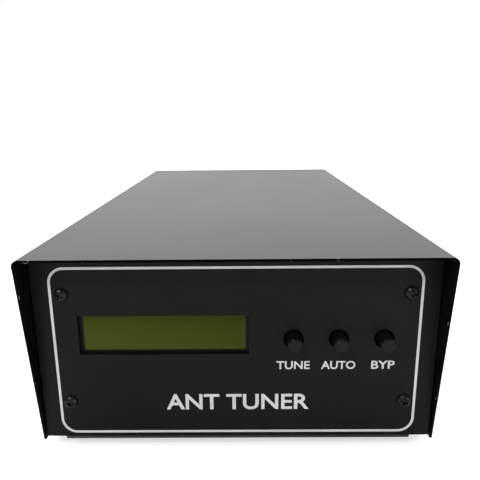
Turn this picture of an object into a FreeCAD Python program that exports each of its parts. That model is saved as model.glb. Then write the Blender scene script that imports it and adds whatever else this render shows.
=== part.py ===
import FreeCAD, Part
import math
import operator
import os
import Sketcher

# Antenna tuner in a folded steel case, drawn the way it is assembled.
# Millimetres. +X is to the right seen from the front, +Y runs to the rear, +Z is up.
# The origin is the middle of the footprint, on the surface that the rubber feet stand on.

Vector = FreeCAD.Vector

SIZES = {
    # Case
    "cover_length": 300.0,
    "case_width": 160.0,
    "case_height": 80.0,
    "sheet_thickness": 1.0,
    "cover_bend": 2.4,           # outer radius of the cover's two long bends
    "chassis_bend": 1.6,         # outer radius where the floor turns up into its flanges
    "overhang": 11.0,            # the cover's top stands this far past each panel
    "side_overhang": 0.5,        # and its sides this far, at their foot
    "fit_gap": 0.3,              # sheet-metal clearance inside the cover
    "flange_height": 12.0,
    "corner_notch": 8.0,         # relief cut at each corner of the floor
    "cover_screw_height": 6.5,
    "cover_screw_inset": 32.0,
    "cover_screw_grip": 3.0,     # thread showing inside the flange
    # Feet
    "foot_height": 5.0,
    "foot_radius": 7.0,          # at the floor of the case
    "foot_lower_radius": 6.0,    # at the table
    "foot_inset_side": 18.0,
    "foot_inset_end": 30.0,
    "foot_recess_radius": 4.0,
    "foot_recess_depth": 3.0,
    "foot_screw_grip": 2.0,
    # Screws
    "screw_radius": 1.5,
    "screw_head_radius": 2.85,
    "screw_head_height": 1.9,
    "screw_clearance": 0.2,      # clearance hole to shank
    "thread_clearance": 0.03,    # tapped hole to shank
    "crown_radius": 1.8,         # flat top of a pan head
    "crown_height": 0.95,
    "slot_width": 0.9,           # one arm of the cross recess
    "slot_length": 3.2,
    "slot_depth": 1.1,
    "small_screw_radius": 1.25,
    "small_head_radius": 2.3,
    "small_head_height": 1.5,
    "small_crown_radius": 1.4,
    "small_crown_height": 0.75,
    # Panels
    "panel_thickness": 1.6,
    "panel_lift": 0.2,           # panel's lower edge to the floor's lip
    "panel_screw_inset": 11.2,   # panel screws to the panel's side edges
    "panel_screw_low": 17.0,
    "panel_screw_top_inset": 17.0,
    "panel_screw_length": 7.0,
    "bracket_thickness": 1.5,
    "bracket_width": 14.0,
    "bracket_top_gap": 8.0,
    "rivet_inset": 8.4,          # rivets to the panel's back
    "rivet_head_height": 0.8,
    "rivet_crown_radius": 1.6,
    "panel_corner": 1.6,         # clears the inside of the cover's bend
    # Display
    "window_left_inset": 16.7,
    "window_width": 67.0,
    "window_height": 16.4,
    "window_middle": 46.0,
    "bezel_width": 71.2,
    "bezel_height": 25.2,
    "bezel_depth": 8.0,
    "bezel_wall": 0.5,
    "bezel_gap": 0.4,            # bezel's face to the panel's back
    "view_width": 64.5,
    "view_height": 14.6,
    "glass_thickness": 2.8,
    "display_board_width": 80.0,
    "display_board_height": 36.0,
    "board_thickness": 1.6,
    "display_hole_pitch_x": 75.0,
    "display_hole_pitch_z": 31.0,
    "display_spacer_length": 5.9,
    "header_pitch": 2.54,
    "header_pins": 16.0,
    "header_pin_width": 0.64,
    # Push buttons
    "button_radius": 2.9,
    "button_hole_radius": 4.0,
    "button_proud": 6.5,
    "button_length": 11.5,
    "button_rim": 0.5,
    "button_pitch": 17.8,
    "button_height": 44.0,
    "button_inset": 20.6,        # last button to the panel's side edge
    "button_travel": 2.0,
    "plunger_width": 3.0,
    "plunger_gap": 0.05,
    "switch_width": 8.5,
    "switch_depth": 8.0,
    "switch_well_depth": 4.0,    # room for the plunger and its travel
    "plunger_engagement": 1.0,   # plunger inside the switch when at rest
    # Board behind the front panel
    "front_board_low": 18.0,
    "front_board_high": 74.0,
    "front_board_side_gap": 9.0,
    "front_standoff_inset": 20.7,
    "front_standoff_low": 22.0,
    "front_standoff_high": 70.0,
    "front_thread_depth": 6.0,
    "front_screw_grip": 4.0,
    "standoff_flats": 5.5,
    # Main board
    "board_front_room": 37.0,
    "board_rear_room": 40.0,
    "board_side_room": 13.7,
    "standoff_height": 8.0,
    "standoff_inset": 4.0,
    "spigot_wall": 0.6,          # pressed-in end of a standoff round its thread
    "screw_head_room": 0.5,      # board screws' heads to the nearest components
    "board_screw_length": 6.0,
    "component_margin": 3.0,     # between neighbouring components
    "coupler_room": 36.0,        # kept free for the coupler at the board's rear edge
    # Relays, coils and capacitors
    "relay_length": 20.0,
    "relay_width": 10.0,
    "relay_height": 15.0,
    "relay_end_room": 16.0,      # board edge to the first and last component in a row
    "coil_radius": 10.5,
    "coil_hole_radius": 5.5,
    "coil_height": 9.6,
    "coil_wire": 1.2,
    "winding_gap": 0.03,         # winding to core
    "coil_sweep": 300.0,
    "air_coil_radius": 4.0,
    "air_coil_length": 14.0,
    "air_coil_wall": 1.2,
    "air_coil_gap": 2.0,
    "air_coil_leg_radius": 0.5,
    "coil_lift": 0.3,
    "capacitor_length": 12.0,
    "capacitor_width": 5.0,
    "capacitor_height": 13.0,
    "coupler_radius": 9.0,
    "coupler_hole_radius": 4.5,
    "coupler_thickness": 7.0,
    "coupler_wire": 0.8,
    "coupler_rod_radius": 1.8,
    "coupler_rod_length": 26.0,
    "coupler_leg_radius": 1.1,
    "coupler_end_room": 7.0,     # rods to the board's rear edge
    # Small parts on the main board
    "chip_width": 7.6,
    "chip_height": 3.6,
    "controller_length": 35.0,
    "driver_length": 23.0,
    "supply_capacitor_radius": 4.0,
    "supply_capacitor_height": 12.0,
    "regulator_width": 10.0,
    "regulator_height": 15.0,
    "regulator_thickness": 4.4,
    "heat_sink_width": 16.0,
    "heat_sink_height": 20.0,
    "heat_sink_base": 2.0,
    "heat_sink_depth": 9.0,
    "heat_sink_fin": 1.2,
    "heat_sink_fins": 5.0,
    "terminal_width": 10.0,
    "terminal_depth": 8.0,
    "terminal_height": 10.0,
    "terminal_inset": 1.0,
    # Coaxial sockets
    "socket_flange": 25.4,
    "socket_flange_thickness": 2.0,
    "socket_hole_pitch": 18.3,
    "socket_barrel_radius": 7.94,
    "socket_barrel_length": 13.0,
    "socket_chamfer": 0.8,
    "socket_bore_radius": 6.4,
    "socket_back_radius": 6.2,
    "socket_back_length": 5.0,
    "socket_back_wall": 1.0,
    "socket_recess": 1.0,
    "contact_bore_radius": 2.0,
    "contact_radius": 2.9,
    "contact_back_length": 6.0,
    "contact_tail_radius": 1.75,
    "contact_bore_depth": 11.0,
    "socket_height": 42.0,
    "output_socket_inset": 31.0,
    "socket_spacing": 42.0,
    "socket_screw_length": 6.6,
    "nut_flats": 5.5,
    "nut_thickness": 2.4,
    # Supply jack
    "jack_inset": 42.0,
    "jack_height": 42.0,
    "jack_thread_radius": 4.0,
    "jack_body_radius": 5.0,
    "jack_body_length": 12.0,
    "jack_front_length": 2.0,
    "jack_bore_radius": 2.75,
    "jack_bore_depth": 9.0,
    "jack_pin_radius": 1.05,
    "jack_pin_set_back": 1.0,
    "jack_bore_wall": 0.5,
    "jack_nut_flats": 10.0,
    "jack_nut_thickness": 2.0,
    # Ground terminal
    "ground_inset": 22.0,
    "ground_height": 20.0,
    "stud_radius": 2.5,
    "stud_outside": 17.0,
    "stud_inside": 6.0,
    "stud_chamfer": 0.6,
    "stud_nut_flats": 8.0,
    "stud_nut_thickness": 3.2,
    "washer_radius": 5.5,
    "washer_thickness": 1.0,
    "wing_bore_gap": 0.06,
    "wing_hub_radius": 4.6,
    "wing_hub_length": 5.0,
    "wing_hub_top_radius": 3.7,
    "wing_root": 3.2,            # where each wing starts, inside the hub
    "wing_root_lift": 1.0,
    "wing_tip_width": 4.0,
    "wing_tip_height": 3.0,
    "wing_slope": 3.0,
    "wing_span": 22.0,
    "wing_height": 9.0,
    "wing_thickness": 2.0,
    # Leads
    "signal_lead_radius": 1.4,
    "supply_lead_radius": 0.9,
    "ribbon_width": 15.0,
    "ribbon_thickness": 1.0,
    "plug_height": 7.0,
    "plug_depth": 5.0,
    "ribbon_height": 36.0,       # above the floor's underside, where it leaves the front board
}


class Size:
    """A value worked out from the sheet, with the expression that keeps it bound."""

    def __init__(self, number, text):
        self.number = number
        self.text = text

    def __add__(self, other):
        return joined(self, "+", other)

    def __radd__(self, other):
        return joined(other, "+", self)

    def __sub__(self, other):
        return joined(self, "-", other)

    def __rsub__(self, other):
        return joined(other, "-", self)

    def __mul__(self, other):
        return joined(self, "*", other)

    def __rmul__(self, other):
        return joined(other, "*", self)

    def __truediv__(self, other):
        return joined(self, "/", other)

    def __neg__(self):
        return joined(0.0, "-", self)


SIGNS = {"+": operator.add, "-": operator.sub, "*": operator.mul, "/": operator.truediv}


def as_size(value):
    if isinstance(value, Size):
        return value
    return Size(float(value), f"({float(value):.9f})")


def joined(left, sign, right):
    left = as_size(left)
    right = as_size(right)
    return Size(SIGNS[sign](left.number, right.number), f"({left.text} {sign} {right.text})")


class Sheet:
    """The spreadsheet of driving sizes; sheet.alias gives the cell's value as a Size."""

    def __init__(self, document, sizes):
        self.table = document.addObject("Spreadsheet::Sheet", "Sizes")
        self.sizes = sizes
        for row, (alias, value) in enumerate(sizes.items(), start=1):
            self.table.set(f"A{row}", alias)
            self.table.set(f"B{row}", str(value))
            self.table.setAlias(f"B{row}", alias)
        document.recompute()

    def __getattr__(self, alias):
        return Size(self.sizes[alias], f"Sizes.{alias}")


document = FreeCAD.newDocument("AntennaTuner")
s = Sheet(document, SIZES)
nodes = []


def bind(target, path, value):
    """Tie one property of an object to an expression over the sheet."""
    target.setExpression(path, as_size(value).text)


def place(target, x, y, z):
    for axis, value in (("x", x), ("y", y), ("z", z)):
        bind(target, f".Placement.Base.{axis}", value)


class Piece:
    """One node: a PartDesign body that holds one piece, or a group of identical ones."""

    def __init__(self, label, x=0, y=0, z=0):
        self.body = document.addObject("PartDesign::Body", label)
        self.body.Label = label
        self.axes = {item.Role: item for item in self.body.Origin.OriginFeatures}
        place(self.body, x, y, z)
        nodes.append(self.body)

    def sketch(self, plane, x, y, z):
        """A sketch on an origin plane whose own origin is the body's point x, y, z."""
        sketch = self.body.newObject("Sketcher::SketchObject", "outline")
        sketch.AttachmentSupport = [(self.axes[f"{plane}_Plane"], "")]
        sketch.MapMode = "FlatFace"
        local = {"XY": (x, y, z), "XZ": (x, z, -as_size(y)), "YZ": (y, z, x)}[plane]
        for axis, value in zip("xyz", local):
            bind(sketch, f".AttachmentOffset.Base.{axis}", value)
        return sketch

    def pin(self, sketch, item, end, point):
        """Hold one point of the sketch at its bound distances from the sketch's origin."""
        for kind, value in zip(("DistanceX", "DistanceY"), point):
            value = as_size(value)
            index = sketch.addConstraint(Sketcher.Constraint(kind, -1, 1, item, end, value.number))
            bind(sketch, f"Constraints[{index}]", value)

    def outline(self, plane, corners, x=0, y=0, z=0):
        sketch = self.sketch(plane, x, y, z)
        points = [Vector(as_size(u).number, as_size(v).number, 0) for u, v in corners]
        for start, end in zip(points, points[1:] + points[:1]):
            sketch.addGeometry(Part.LineSegment(start, end), False)
        for index in range(len(points)):
            following = (index + 1) % len(points)
            sketch.addConstraint(Sketcher.Constraint("Coincident", index, 2, following, 1))
        for index, corner in enumerate(corners):
            self.pin(sketch, index, 1, corner)
        return sketch

    def rings(self, plane, centres, radius, x=0, y=0, z=0):
        sketch = self.sketch(plane, x, y, z)
        radius = as_size(radius)
        for index, (u, v) in enumerate(centres):
            middle = Vector(as_size(u).number, as_size(v).number, 0)
            sketch.addGeometry(Part.Circle(middle, Vector(0, 0, 1), radius.number), False)
            held = sketch.addConstraint(Sketcher.Constraint("Radius", index, radius.number))
            bind(sketch, f"Constraints[{held}]", radius)
            self.pin(sketch, index, 3, (u, v))
        return sketch

    def extrude(self, plane, make, low, high, cut):
        """Pad or pocket a sketch from low to high along the axis that the plane faces."""
        along = {"XY": "z", "XZ": "y", "YZ": "x"}[plane]
        start = high if plane == "XZ" else low
        sketch = make(**{along: start})
        kind = "Pocket" if cut else "Pad"
        feature = self.body.newObject(f"PartDesign::{kind}", kind.lower())
        feature.Profile = sketch
        feature.Reversed = cut
        bind(feature, "Length", as_size(high) - low)
        return self.done(feature)

    def prism(self, plane, corners, low, high, cut=False):
        return self.extrude(plane, lambda **at: self.outline(plane, corners, **at), low, high, cut)

    def discs(self, plane, centres, radius, low, high, cut=False):
        return self.extrude(plane, lambda **at: self.rings(plane, centres, radius, **at), low, high, cut)

    def block(self, x, y, z, cut=False):
        """A box given by its low and high limits along each axis."""
        kind = "SubtractiveBox" if cut else "AdditiveBox"
        feature = self.body.newObject(f"PartDesign::{kind}", kind.lower())
        for length, (low, high) in zip(("Length", "Width", "Height"), (x, y, z)):
            bind(feature, length, as_size(high) - low)
        place(feature, x[0], y[0], z[0])
        return self.done(feature)

    def turned(self, axis, profile, x=0, y=0, z=0, cut=False, sweep=360):
        """Turn a profile of (along, radius) points about a line through x, y, z."""
        plane = "XZ" if axis == "Z" else "XY"
        along_first = axis == "X"
        corners = [(a, r) if along_first else (r, a) for a, r in profile]
        sketch = self.outline(plane, corners, x, y, z)
        kind = "Groove" if cut else "Revolution"
        feature = self.body.newObject(f"PartDesign::{kind}", kind.lower())
        feature.Profile = sketch
        feature.ReferenceAxis = (sketch, ["H_Axis" if along_first else "V_Axis"])
        bind(feature, "Angle", sweep)
        return self.done(feature)

    def grid(self, features, first, second=None):
        """Repeat features along one axis, or two; each is (axis, step, count)."""
        pattern = self.body.newObject("PartDesign::LinearPattern", "grid")
        pattern.Originals = features
        for suffix, (axis, step, count) in zip(("", "2"), (first, second or first)):
            if suffix and second is None:
                continue
            setattr(pattern, f"Direction{suffix}", (self.axes[f"{axis}_Axis"], [""]))
            bind(pattern, f"Length{suffix}", as_size(step) * (count - 1))
            setattr(pattern, f"Occurrences{suffix}", count)
        return self.done(pattern)

    def round(self, radius, wanted):
        """Fillet the edges of the body so far for which wanted(edge) is true."""
        document.recompute()
        base = self.body.Tip
        edges = base.Shape.Edges
        names = [f"Edge{index}" for index, edge in enumerate(edges, start=1) if wanted(edge)]
        feature = self.body.newObject("PartDesign::Fillet", "fillet")
        feature.Base = (base, names)
        bind(feature, "Radius", radius)
        return self.done(feature)

    def done(self, feature):
        self.body.Tip = feature
        return feature


def runs_along(axis, x=None, y=None, z=None):
    """A test for straight edges along one axis that lie at the given coordinates."""
    direction = {"X": Vector(1, 0, 0), "Y": Vector(0, 1, 0), "Z": Vector(0, 0, 1)}[axis]

    def test(edge):
        if edge.Curve.TypeId != "Part::GeomLine":
            return False
        if edge.tangentAt(edge.FirstParameter).cross(direction).Length > 1e-6:
            return False
        middle = edge.CenterOfMass
        asked = ((x, middle.x), (y, middle.y), (z, middle.z))
        return all(want is None or abs(as_size(want).number - have) < 1e-4 for want, have in asked)

    return test


def circles_at(y, radius):
    """A test for full circles of one radius that lie at a given y."""

    def test(edge):
        if edge.Curve.TypeId != "Part::GeomCircle":
            return False
        flat = abs(edge.CenterOfMass.y - as_size(y).number) < 1e-4
        return flat and abs(edge.Curve.Radius - as_size(radius).number) < 1e-4

    return test


def rectangle(x, y):
    return [(x[0], y[0]), (x[1], y[0]), (x[1], y[1]), (x[0], y[1])]


def both(value):
    return (-as_size(value), value)


def about(middle, width):
    """The two limits of a width centred on middle."""
    return (middle - as_size(width) / 2, middle + as_size(width) / 2)


def hexagon(x, y, flats):
    """Corners of a hexagon with its flats facing the sketch's horizontal axis."""
    corners = []
    for step in range(6):
        angle = math.radians(60 * step + 30)
        reach = as_size(flats) / math.sqrt(3)
        corners.append((x + reach * math.cos(angle), y + reach * math.sin(angle)))
    return corners


def cross(x, y, length, width):
    """Corners of the cross-shaped recess in a screw head."""
    arm = as_size(length) / 2
    half = as_size(width) / 2
    reach = [(arm, -half), (arm, half), (half, half), (half, arm), (-half, arm), (-half, half),
             (-arm, half), (-arm, -half), (-half, -half), (-half, -arm), (half, -arm), (half, -half)]
    return [(x + u, y + v) for u, v in reach]


def screw_profile(length):
    """Half a pan-head M3 screw from its axis; it points along + from the seat of the head."""
    return [(-s.screw_head_height, 0), (-s.screw_head_height, s.crown_radius),
            (-s.crown_height, s.screw_head_radius), (0, s.screw_head_radius), (0, s.screw_radius),
            (length, s.screw_radius), (length, 0)]


def small_screw_profile(length):
    """The same for the M2.5 screws of the display and the front board."""
    return [(-s.small_head_height, 0), (-s.small_head_height, s.small_crown_radius),
            (-s.small_crown_height, s.small_head_radius), (0, s.small_head_radius),
            (0, s.small_screw_radius), (length, s.small_screw_radius), (length, 0)]


def recess_at(x, y):
    """The cross recess of an M3 screw whose axis is at x, y."""
    return cross(x, y, s.slot_length, s.slot_width)


def reversed_profile(profile):
    """The same profile pointing the other way."""
    return [(-as_size(along), radius) for along, radius in profile]


# ---------------------------------------------------------------------------
# Datums worked out from the sheet
# ---------------------------------------------------------------------------
PAST = 1.0                                      # how far a cut runs past the faces it opens
floor_low = s.foot_height
cover_front = -(s.cover_length + s.stud_outside - s.overhang) / 2
cover_rear = cover_front + s.cover_length
panel_face = cover_front + s.overhang
rear_face = cover_rear - s.overhang
panel_back = s.panel_thickness                  # from each panel's own outer face
inner_half = s.case_width / 2 - s.sheet_thickness
panel_half = inner_half - s.fit_gap
inner_top = s.case_height - s.sheet_thickness   # heights below are from the floor's underside
panel_low = s.sheet_thickness + s.panel_lift
panel_high = inner_top - s.fit_gap
panel_screw_x = panel_half - s.panel_screw_inset
panel_screw_high = s.case_height - s.panel_screw_top_inset
panel_screw_rise = panel_screw_high - s.panel_screw_low
panel_screw_spots = [(x, z) for x in (-panel_screw_x, panel_screw_x)
                     for z in (s.panel_screw_low, panel_screw_high)]
chassis_length = rear_face - panel_face
cover_screw_pitch = (chassis_length - 2 * s.cover_screw_inset) / 2
rivet_y = panel_back + s.rivet_inset
rivet_step = chassis_length - 2 * rivet_y
rivet_spots = [(rivet_y, s.cover_screw_height), (rivet_y + rivet_step, s.cover_screw_height)]
foot_x = s.case_width / 2 - s.foot_inset_side
foot_pitch_y = chassis_length - 2 * s.foot_inset_end

board_low = s.sheet_thickness + s.standoff_height
board_top = board_low + s.board_thickness
board_front = s.board_front_room                # from the front panel's face
board_length = chassis_length - s.board_front_room - s.board_rear_room
board_half = inner_half - s.board_side_room
board_back = board_front + board_length

window_middle_x = -panel_half + s.window_left_inset + s.window_width / 2
button_last_x = panel_half - s.button_inset
button_first_x = button_last_x - 2 * s.button_pitch
bezel_front = panel_back + s.bezel_gap
display_board_front = bezel_front + s.bezel_depth
display_board_back = display_board_front + s.board_thickness
front_board_front = display_board_back + s.display_spacer_length
front_board_back = front_board_front + s.board_thickness
front_board_left = window_middle_x - s.display_board_width / 2
front_board_right = panel_half - s.front_board_side_gap
front_standoff_x = panel_half - s.front_standoff_inset

shank_hole = s.screw_radius + s.screw_clearance
tapped_hole = s.screw_radius + s.thread_clearance
spigot_radius = s.screw_radius + s.spigot_wall
small_shank_hole = s.small_screw_radius + s.screw_clearance
small_tapped_hole = s.small_screw_radius + s.thread_clearance


# ---------------------------------------------------------------------------
# Case
# ---------------------------------------------------------------------------
def make_top_cover():
    # One folded sheet: a top and two sides, open below and at both ends. The side edges
    # lean back, so the top shades the panels while the sides end level with them.
    cover = Piece("top_cover", y=cover_front, z=floor_low)
    half = s.case_width / 2
    section = [(-half, 0), (-half, s.case_height), (half, s.case_height), (half, 0),
               (inner_half, 0), (inner_half, inner_top), (-inner_half, inner_top), (-inner_half, 0)]
    cover.prism("XZ", section, 0, s.cover_length)
    cover.round(s.cover_bend, lambda edge: runs_along("Y", z=s.case_height)(edge))
    cover.round(s.cover_bend - s.sheet_thickness, lambda edge: runs_along("Y", z=inner_top)(edge))
    slant_top = s.case_height - s.cover_bend
    foot_back = s.overhang - s.side_overhang
    front_slant = [(0, slant_top), (foot_back, 0), (foot_back, -s.sheet_thickness),
                   (-s.sheet_thickness, -s.sheet_thickness), (-s.sheet_thickness, slant_top)]
    rear_slant = [(s.cover_length - y, z) for y, z in front_slant]
    cover.prism("YZ", front_slant, -s.case_width, s.case_width, cut=True)
    cover.prism("YZ", rear_slant, -s.case_width, s.case_width, cut=True)
    holes = [(s.overhang + s.cover_screw_inset + cover_screw_pitch * step, s.cover_screw_height)
             for step in range(3)]
    cover.discs("YZ", holes, shank_hole, -s.case_width, s.case_width, cut=True)


def make_cover_screws():
    # Three pan-head screws a side, through the cover into the chassis flanges.
    screws = Piece("cover_screws", y=panel_face + s.cover_screw_inset, z=floor_low + s.cover_screw_height)
    profile = screw_profile(s.sheet_thickness * 2 + s.fit_gap + s.cover_screw_grip)
    side = s.case_width / 2
    top = side + s.screw_head_height
    left = screws.turned("X", profile, x=-side)
    slot = screws.prism("YZ", recess_at(0, 0), -top, -top + s.slot_depth, cut=True)
    screws.grid([left, slot], ("Y", cover_screw_pitch, 3))
    right = screws.turned("X", reversed_profile(profile), x=side)
    slot = screws.prism("YZ", recess_at(0, 0), top - s.slot_depth, top, cut=True)
    screws.grid([right, slot], ("Y", cover_screw_pitch, 3))


def make_chassis():
    # The folded tray: a floor with a turned-up flange along each side. The floor runs out
    # under both panels as a lip, notched at its corners. Its holes take the cover's screws,
    # the brackets' rivets, the feet's screws and the pressed-in standoffs.
    chassis = Piece("chassis", y=panel_face, z=floor_low)
    wall = panel_half - s.sheet_thickness
    section = [(-panel_half, 0), (panel_half, 0), (panel_half, s.flange_height), (wall, s.flange_height),
               (wall, s.sheet_thickness), (-wall, s.sheet_thickness), (-wall, s.flange_height),
               (-panel_half, s.flange_height)]
    chassis.prism("XZ", section, 0, chassis_length)
    chassis.round(s.chassis_bend, runs_along("Y", z=0))
    notch_inner = panel_half - s.corner_notch
    for x in ((-s.case_width, -notch_inner), (notch_inner, s.case_width)):
        for y in ((-PAST, panel_back), (chassis_length - panel_back, chassis_length + PAST)):
            chassis.block(x, y, (-PAST, s.flange_height + PAST), cut=True)
    screw_rows = [(s.cover_screw_inset + cover_screw_pitch * step, s.cover_screw_height)
                  for step in range(3)]
    chassis.discs("YZ", screw_rows + rivet_spots, tapped_hole, -s.case_width, s.case_width, cut=True)
    feet = [(x, s.foot_inset_end + foot_pitch_y * row) for x in (-foot_x, foot_x) for row in (0, 1)]
    chassis.discs("XY", feet, tapped_hole, -PAST, s.sheet_thickness + PAST, cut=True)
    chassis.discs("XY", standoff_spots(), spigot_radius + s.thread_clearance, -PAST,
                  s.sheet_thickness + PAST, cut=True)


def make_corner_brackets():
    # Four steel angles that stand in the corners: one leaf takes the panel's screws, the
    # other is riveted to the chassis flange.
    brackets = Piece("corner_brackets", y=panel_face, z=floor_low)
    outer = panel_half - s.sheet_thickness
    inner = outer - s.bracket_width + s.sheet_thickness
    high = inner_top - s.bracket_top_gap
    low = s.sheet_thickness + s.fit_gap
    for side in (-1, 1):
        for front in (True, False):
            base = as_size(panel_back) if front else chassis_length - panel_back
            away = 1 if front else -1
            far = base + away * s.bracket_width
            near = base + away * s.bracket_thickness
            corners = [(side * outer, base), (side * inner, base), (side * inner, near),
                       (side * (outer - s.bracket_thickness), near),
                       (side * (outer - s.bracket_thickness), far), (side * outer, far)]
            brackets.prism("XY", corners, low, high)
    brackets.discs("XZ", panel_screw_spots, tapped_hole, -PAST, chassis_length + PAST, cut=True)
    brackets.discs("YZ", rivet_spots, tapped_hole, -s.case_width, s.case_width, cut=True)


def make_bracket_rivets():
    # Four blind rivets that hold the corner brackets to the flanges; flush outside, so the
    # cover slides over them, and domed inside.
    rivets = Piece("bracket_rivets", y=panel_face, z=floor_low + s.cover_screw_height)
    seat = -s.sheet_thickness - s.bracket_thickness
    crown = seat - s.rivet_head_height
    profile = [(0, 0), (0, s.screw_radius), (seat, s.screw_radius), (seat, s.small_head_radius),
               (crown, s.rivet_crown_radius), (crown, 0)]
    right = rivets.turned("X", profile, x=panel_half, y=rivet_y)
    rivets.grid([right], ("Y", rivet_step, 2))
    left = rivets.turned("X", reversed_profile(profile), x=-panel_half, y=rivet_y)
    rivets.grid([left], ("Y", rivet_step, 2))


def standoff_spots():
    """The six screw places of the main board, from the front panel's face."""
    step = (board_length - 2 * s.standoff_inset) / 2
    return [(side * (board_half - s.standoff_inset), board_front + s.standoff_inset + step * row)
            for side in (-1, 1) for row in range(3)]


def panel_plate(label, y):
    """A flat end plate that stands on the floor's lip between the cover's sides."""
    panel = Piece(label, y=y, z=floor_low)
    panel.block(both(panel_half), (0, s.panel_thickness), (panel_low, panel_high))
    panel.round(s.panel_corner, runs_along("Y", z=panel_high))
    panel.discs("XZ", panel_screw_spots, shank_hole, -PAST, s.panel_thickness + PAST, cut=True)
    return panel


def make_front_panel():
    # The steel plate that carries the display window and three button holes. The standoffs
    # behind it are pressed in blind, so nothing shows on its face.
    panel = panel_plate("front_panel", panel_face)
    window = rectangle(about(window_middle_x, s.window_width), about(s.window_middle, s.window_height))
    panel.prism("XZ", window, -PAST, s.panel_thickness + PAST, cut=True)
    buttons = [(button_first_x + s.button_pitch * step, s.button_height) for step in range(3)]
    panel.discs("XZ", buttons, s.button_hole_radius, -PAST, s.panel_thickness + PAST, cut=True)


def panel_screw_set(label, y, into):
    """Four pan-head screws at a panel's corners; into is +1 to the rear, -1 to the front."""
    screws = Piece(label, y=y, z=floor_low)
    profile = screw_profile(s.panel_screw_length)
    top = into * -s.screw_head_height
    bottom = top + into * s.slot_depth
    low, high = (top, bottom) if into > 0 else (bottom, top)
    screw = screws.turned("Y", profile if into > 0 else reversed_profile(profile),
                          x=-panel_screw_x, z=s.panel_screw_low)
    slot = screws.prism("XZ", recess_at(-panel_screw_x, s.panel_screw_low), low, high, cut=True)
    screws.grid([screw, slot], ("X", 2 * panel_screw_x, 2), ("Z", panel_screw_rise, 2))


def output_x():
    return -panel_half + s.output_socket_inset


def input_x():
    return output_x() + s.socket_spacing


def jack_x():
    return panel_half - s.jack_inset


def ground_x():
    return panel_half - s.ground_inset


def make_rear_panel():
    # The plate at the back, with the two coaxial sockets, the supply jack and the ground stud.
    panel = panel_plate("rear_panel", rear_face - s.panel_thickness)
    cut = (-PAST, s.panel_thickness + PAST)
    sockets = [(output_x(), s.socket_height), (input_x(), s.socket_height)]
    panel.discs("XZ", sockets, s.socket_back_radius + s.screw_clearance, *cut, cut=True)
    reach = s.socket_hole_pitch / 2
    corners = [(x + u * reach, z + v * reach) for x, z in sockets for u in (-1, 1) for v in (-1, 1)]
    panel.discs("XZ", corners, shank_hole, *cut, cut=True)
    panel.discs("XZ", [(jack_x(), s.jack_height)], s.jack_thread_radius + s.screw_clearance, *cut, cut=True)
    panel.discs("XZ", [(ground_x(), s.ground_height)], s.stud_radius + s.screw_clearance, *cut, cut=True)


def make_feet():
    # Four moulded rubber feet, each held by one screw whose head sits up inside it.
    feet = Piece("rubber_feet", x=-foot_x, y=panel_face + s.foot_inset_end)
    profile = [(0, s.foot_recess_radius), (0, s.foot_lower_radius), (s.foot_height, s.foot_radius),
               (s.foot_height, shank_hole), (s.foot_recess_depth, shank_hole),
               (s.foot_recess_depth, s.foot_recess_radius)]
    foot = feet.turned("Z", profile)
    feet.grid([foot], ("X", 2 * foot_x, 2), ("Y", foot_pitch_y, 2))

    screws = Piece("foot_screws", x=-foot_x, y=panel_face + s.foot_inset_end, z=s.foot_recess_depth)
    profile = screw_profile(s.foot_height - s.foot_recess_depth + s.sheet_thickness + s.foot_screw_grip)
    screw = screws.turned("Z", profile)
    slot = screws.prism("XY", recess_at(0, 0), -s.screw_head_height,
                        -s.screw_head_height + s.slot_depth, cut=True)
    screws.grid([screw, slot], ("X", 2 * foot_x, 2), ("Y", foot_pitch_y, 2))


# ---------------------------------------------------------------------------
# Display
# ---------------------------------------------------------------------------
def display_corners():
    return [(window_middle_x + u * s.display_hole_pitch_x / 2,
             s.window_middle + v * s.display_hole_pitch_z / 2) for u in (-1, 1) for v in (-1, 1)]


def make_display():
    # A two-line liquid-crystal module: a folded metal bezel over the glass and its
    # backlight, clinched to a circuit board.
    bezel = Piece("display_bezel", x=window_middle_x, y=panel_face, z=floor_low + s.window_middle)
    front = bezel_front
    across = both(s.bezel_width / 2)
    upright = both(s.bezel_height / 2)
    bezel.block(across, (front, display_board_front), upright)
    bezel.block(both(s.bezel_width / 2 - s.bezel_wall), (front + s.bezel_wall, display_board_front + PAST),
                both(s.bezel_height / 2 - s.bezel_wall), cut=True)
    bezel.block(both(s.view_width / 2), (front - PAST, front + PAST), both(s.view_height / 2), cut=True)

    glass = Piece("display_glass", x=window_middle_x, y=panel_face, z=floor_low + s.window_middle)
    inner_x = s.bezel_width / 2 - s.bezel_wall - s.thread_clearance
    inner_z = s.bezel_height / 2 - s.bezel_wall - s.thread_clearance
    glass_back = front + s.bezel_wall + s.glass_thickness
    glass.block(both(inner_x), (front + s.bezel_wall, glass_back), both(inner_z))

    light = Piece("display_backlight", x=window_middle_x, y=panel_face, z=floor_low + s.window_middle)
    light.block(both(inner_x), (glass_back, display_board_front), both(inner_z))

    board = Piece("display_board", y=panel_face, z=floor_low)
    board.block(about(window_middle_x, s.display_board_width), (display_board_front, display_board_back),
                about(s.window_middle, s.display_board_height))
    through = (display_board_front - PAST, display_board_back + PAST)
    board.discs("XZ", display_corners(), small_shank_hole, *through, cut=True)
    board.block(header_span(), through, about(header_height(), s.header_pin_width + 2 * s.thread_clearance),
                cut=True)


def header_height():
    return s.window_middle + s.display_board_height / 2 - s.header_pitch


def header_span():
    """Where the row of header pins passes through the display's board."""
    row = s.header_pitch * (s.header_pins - 1) + s.header_pin_width
    return about(window_middle_x, row + 2 * s.thread_clearance)


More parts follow.
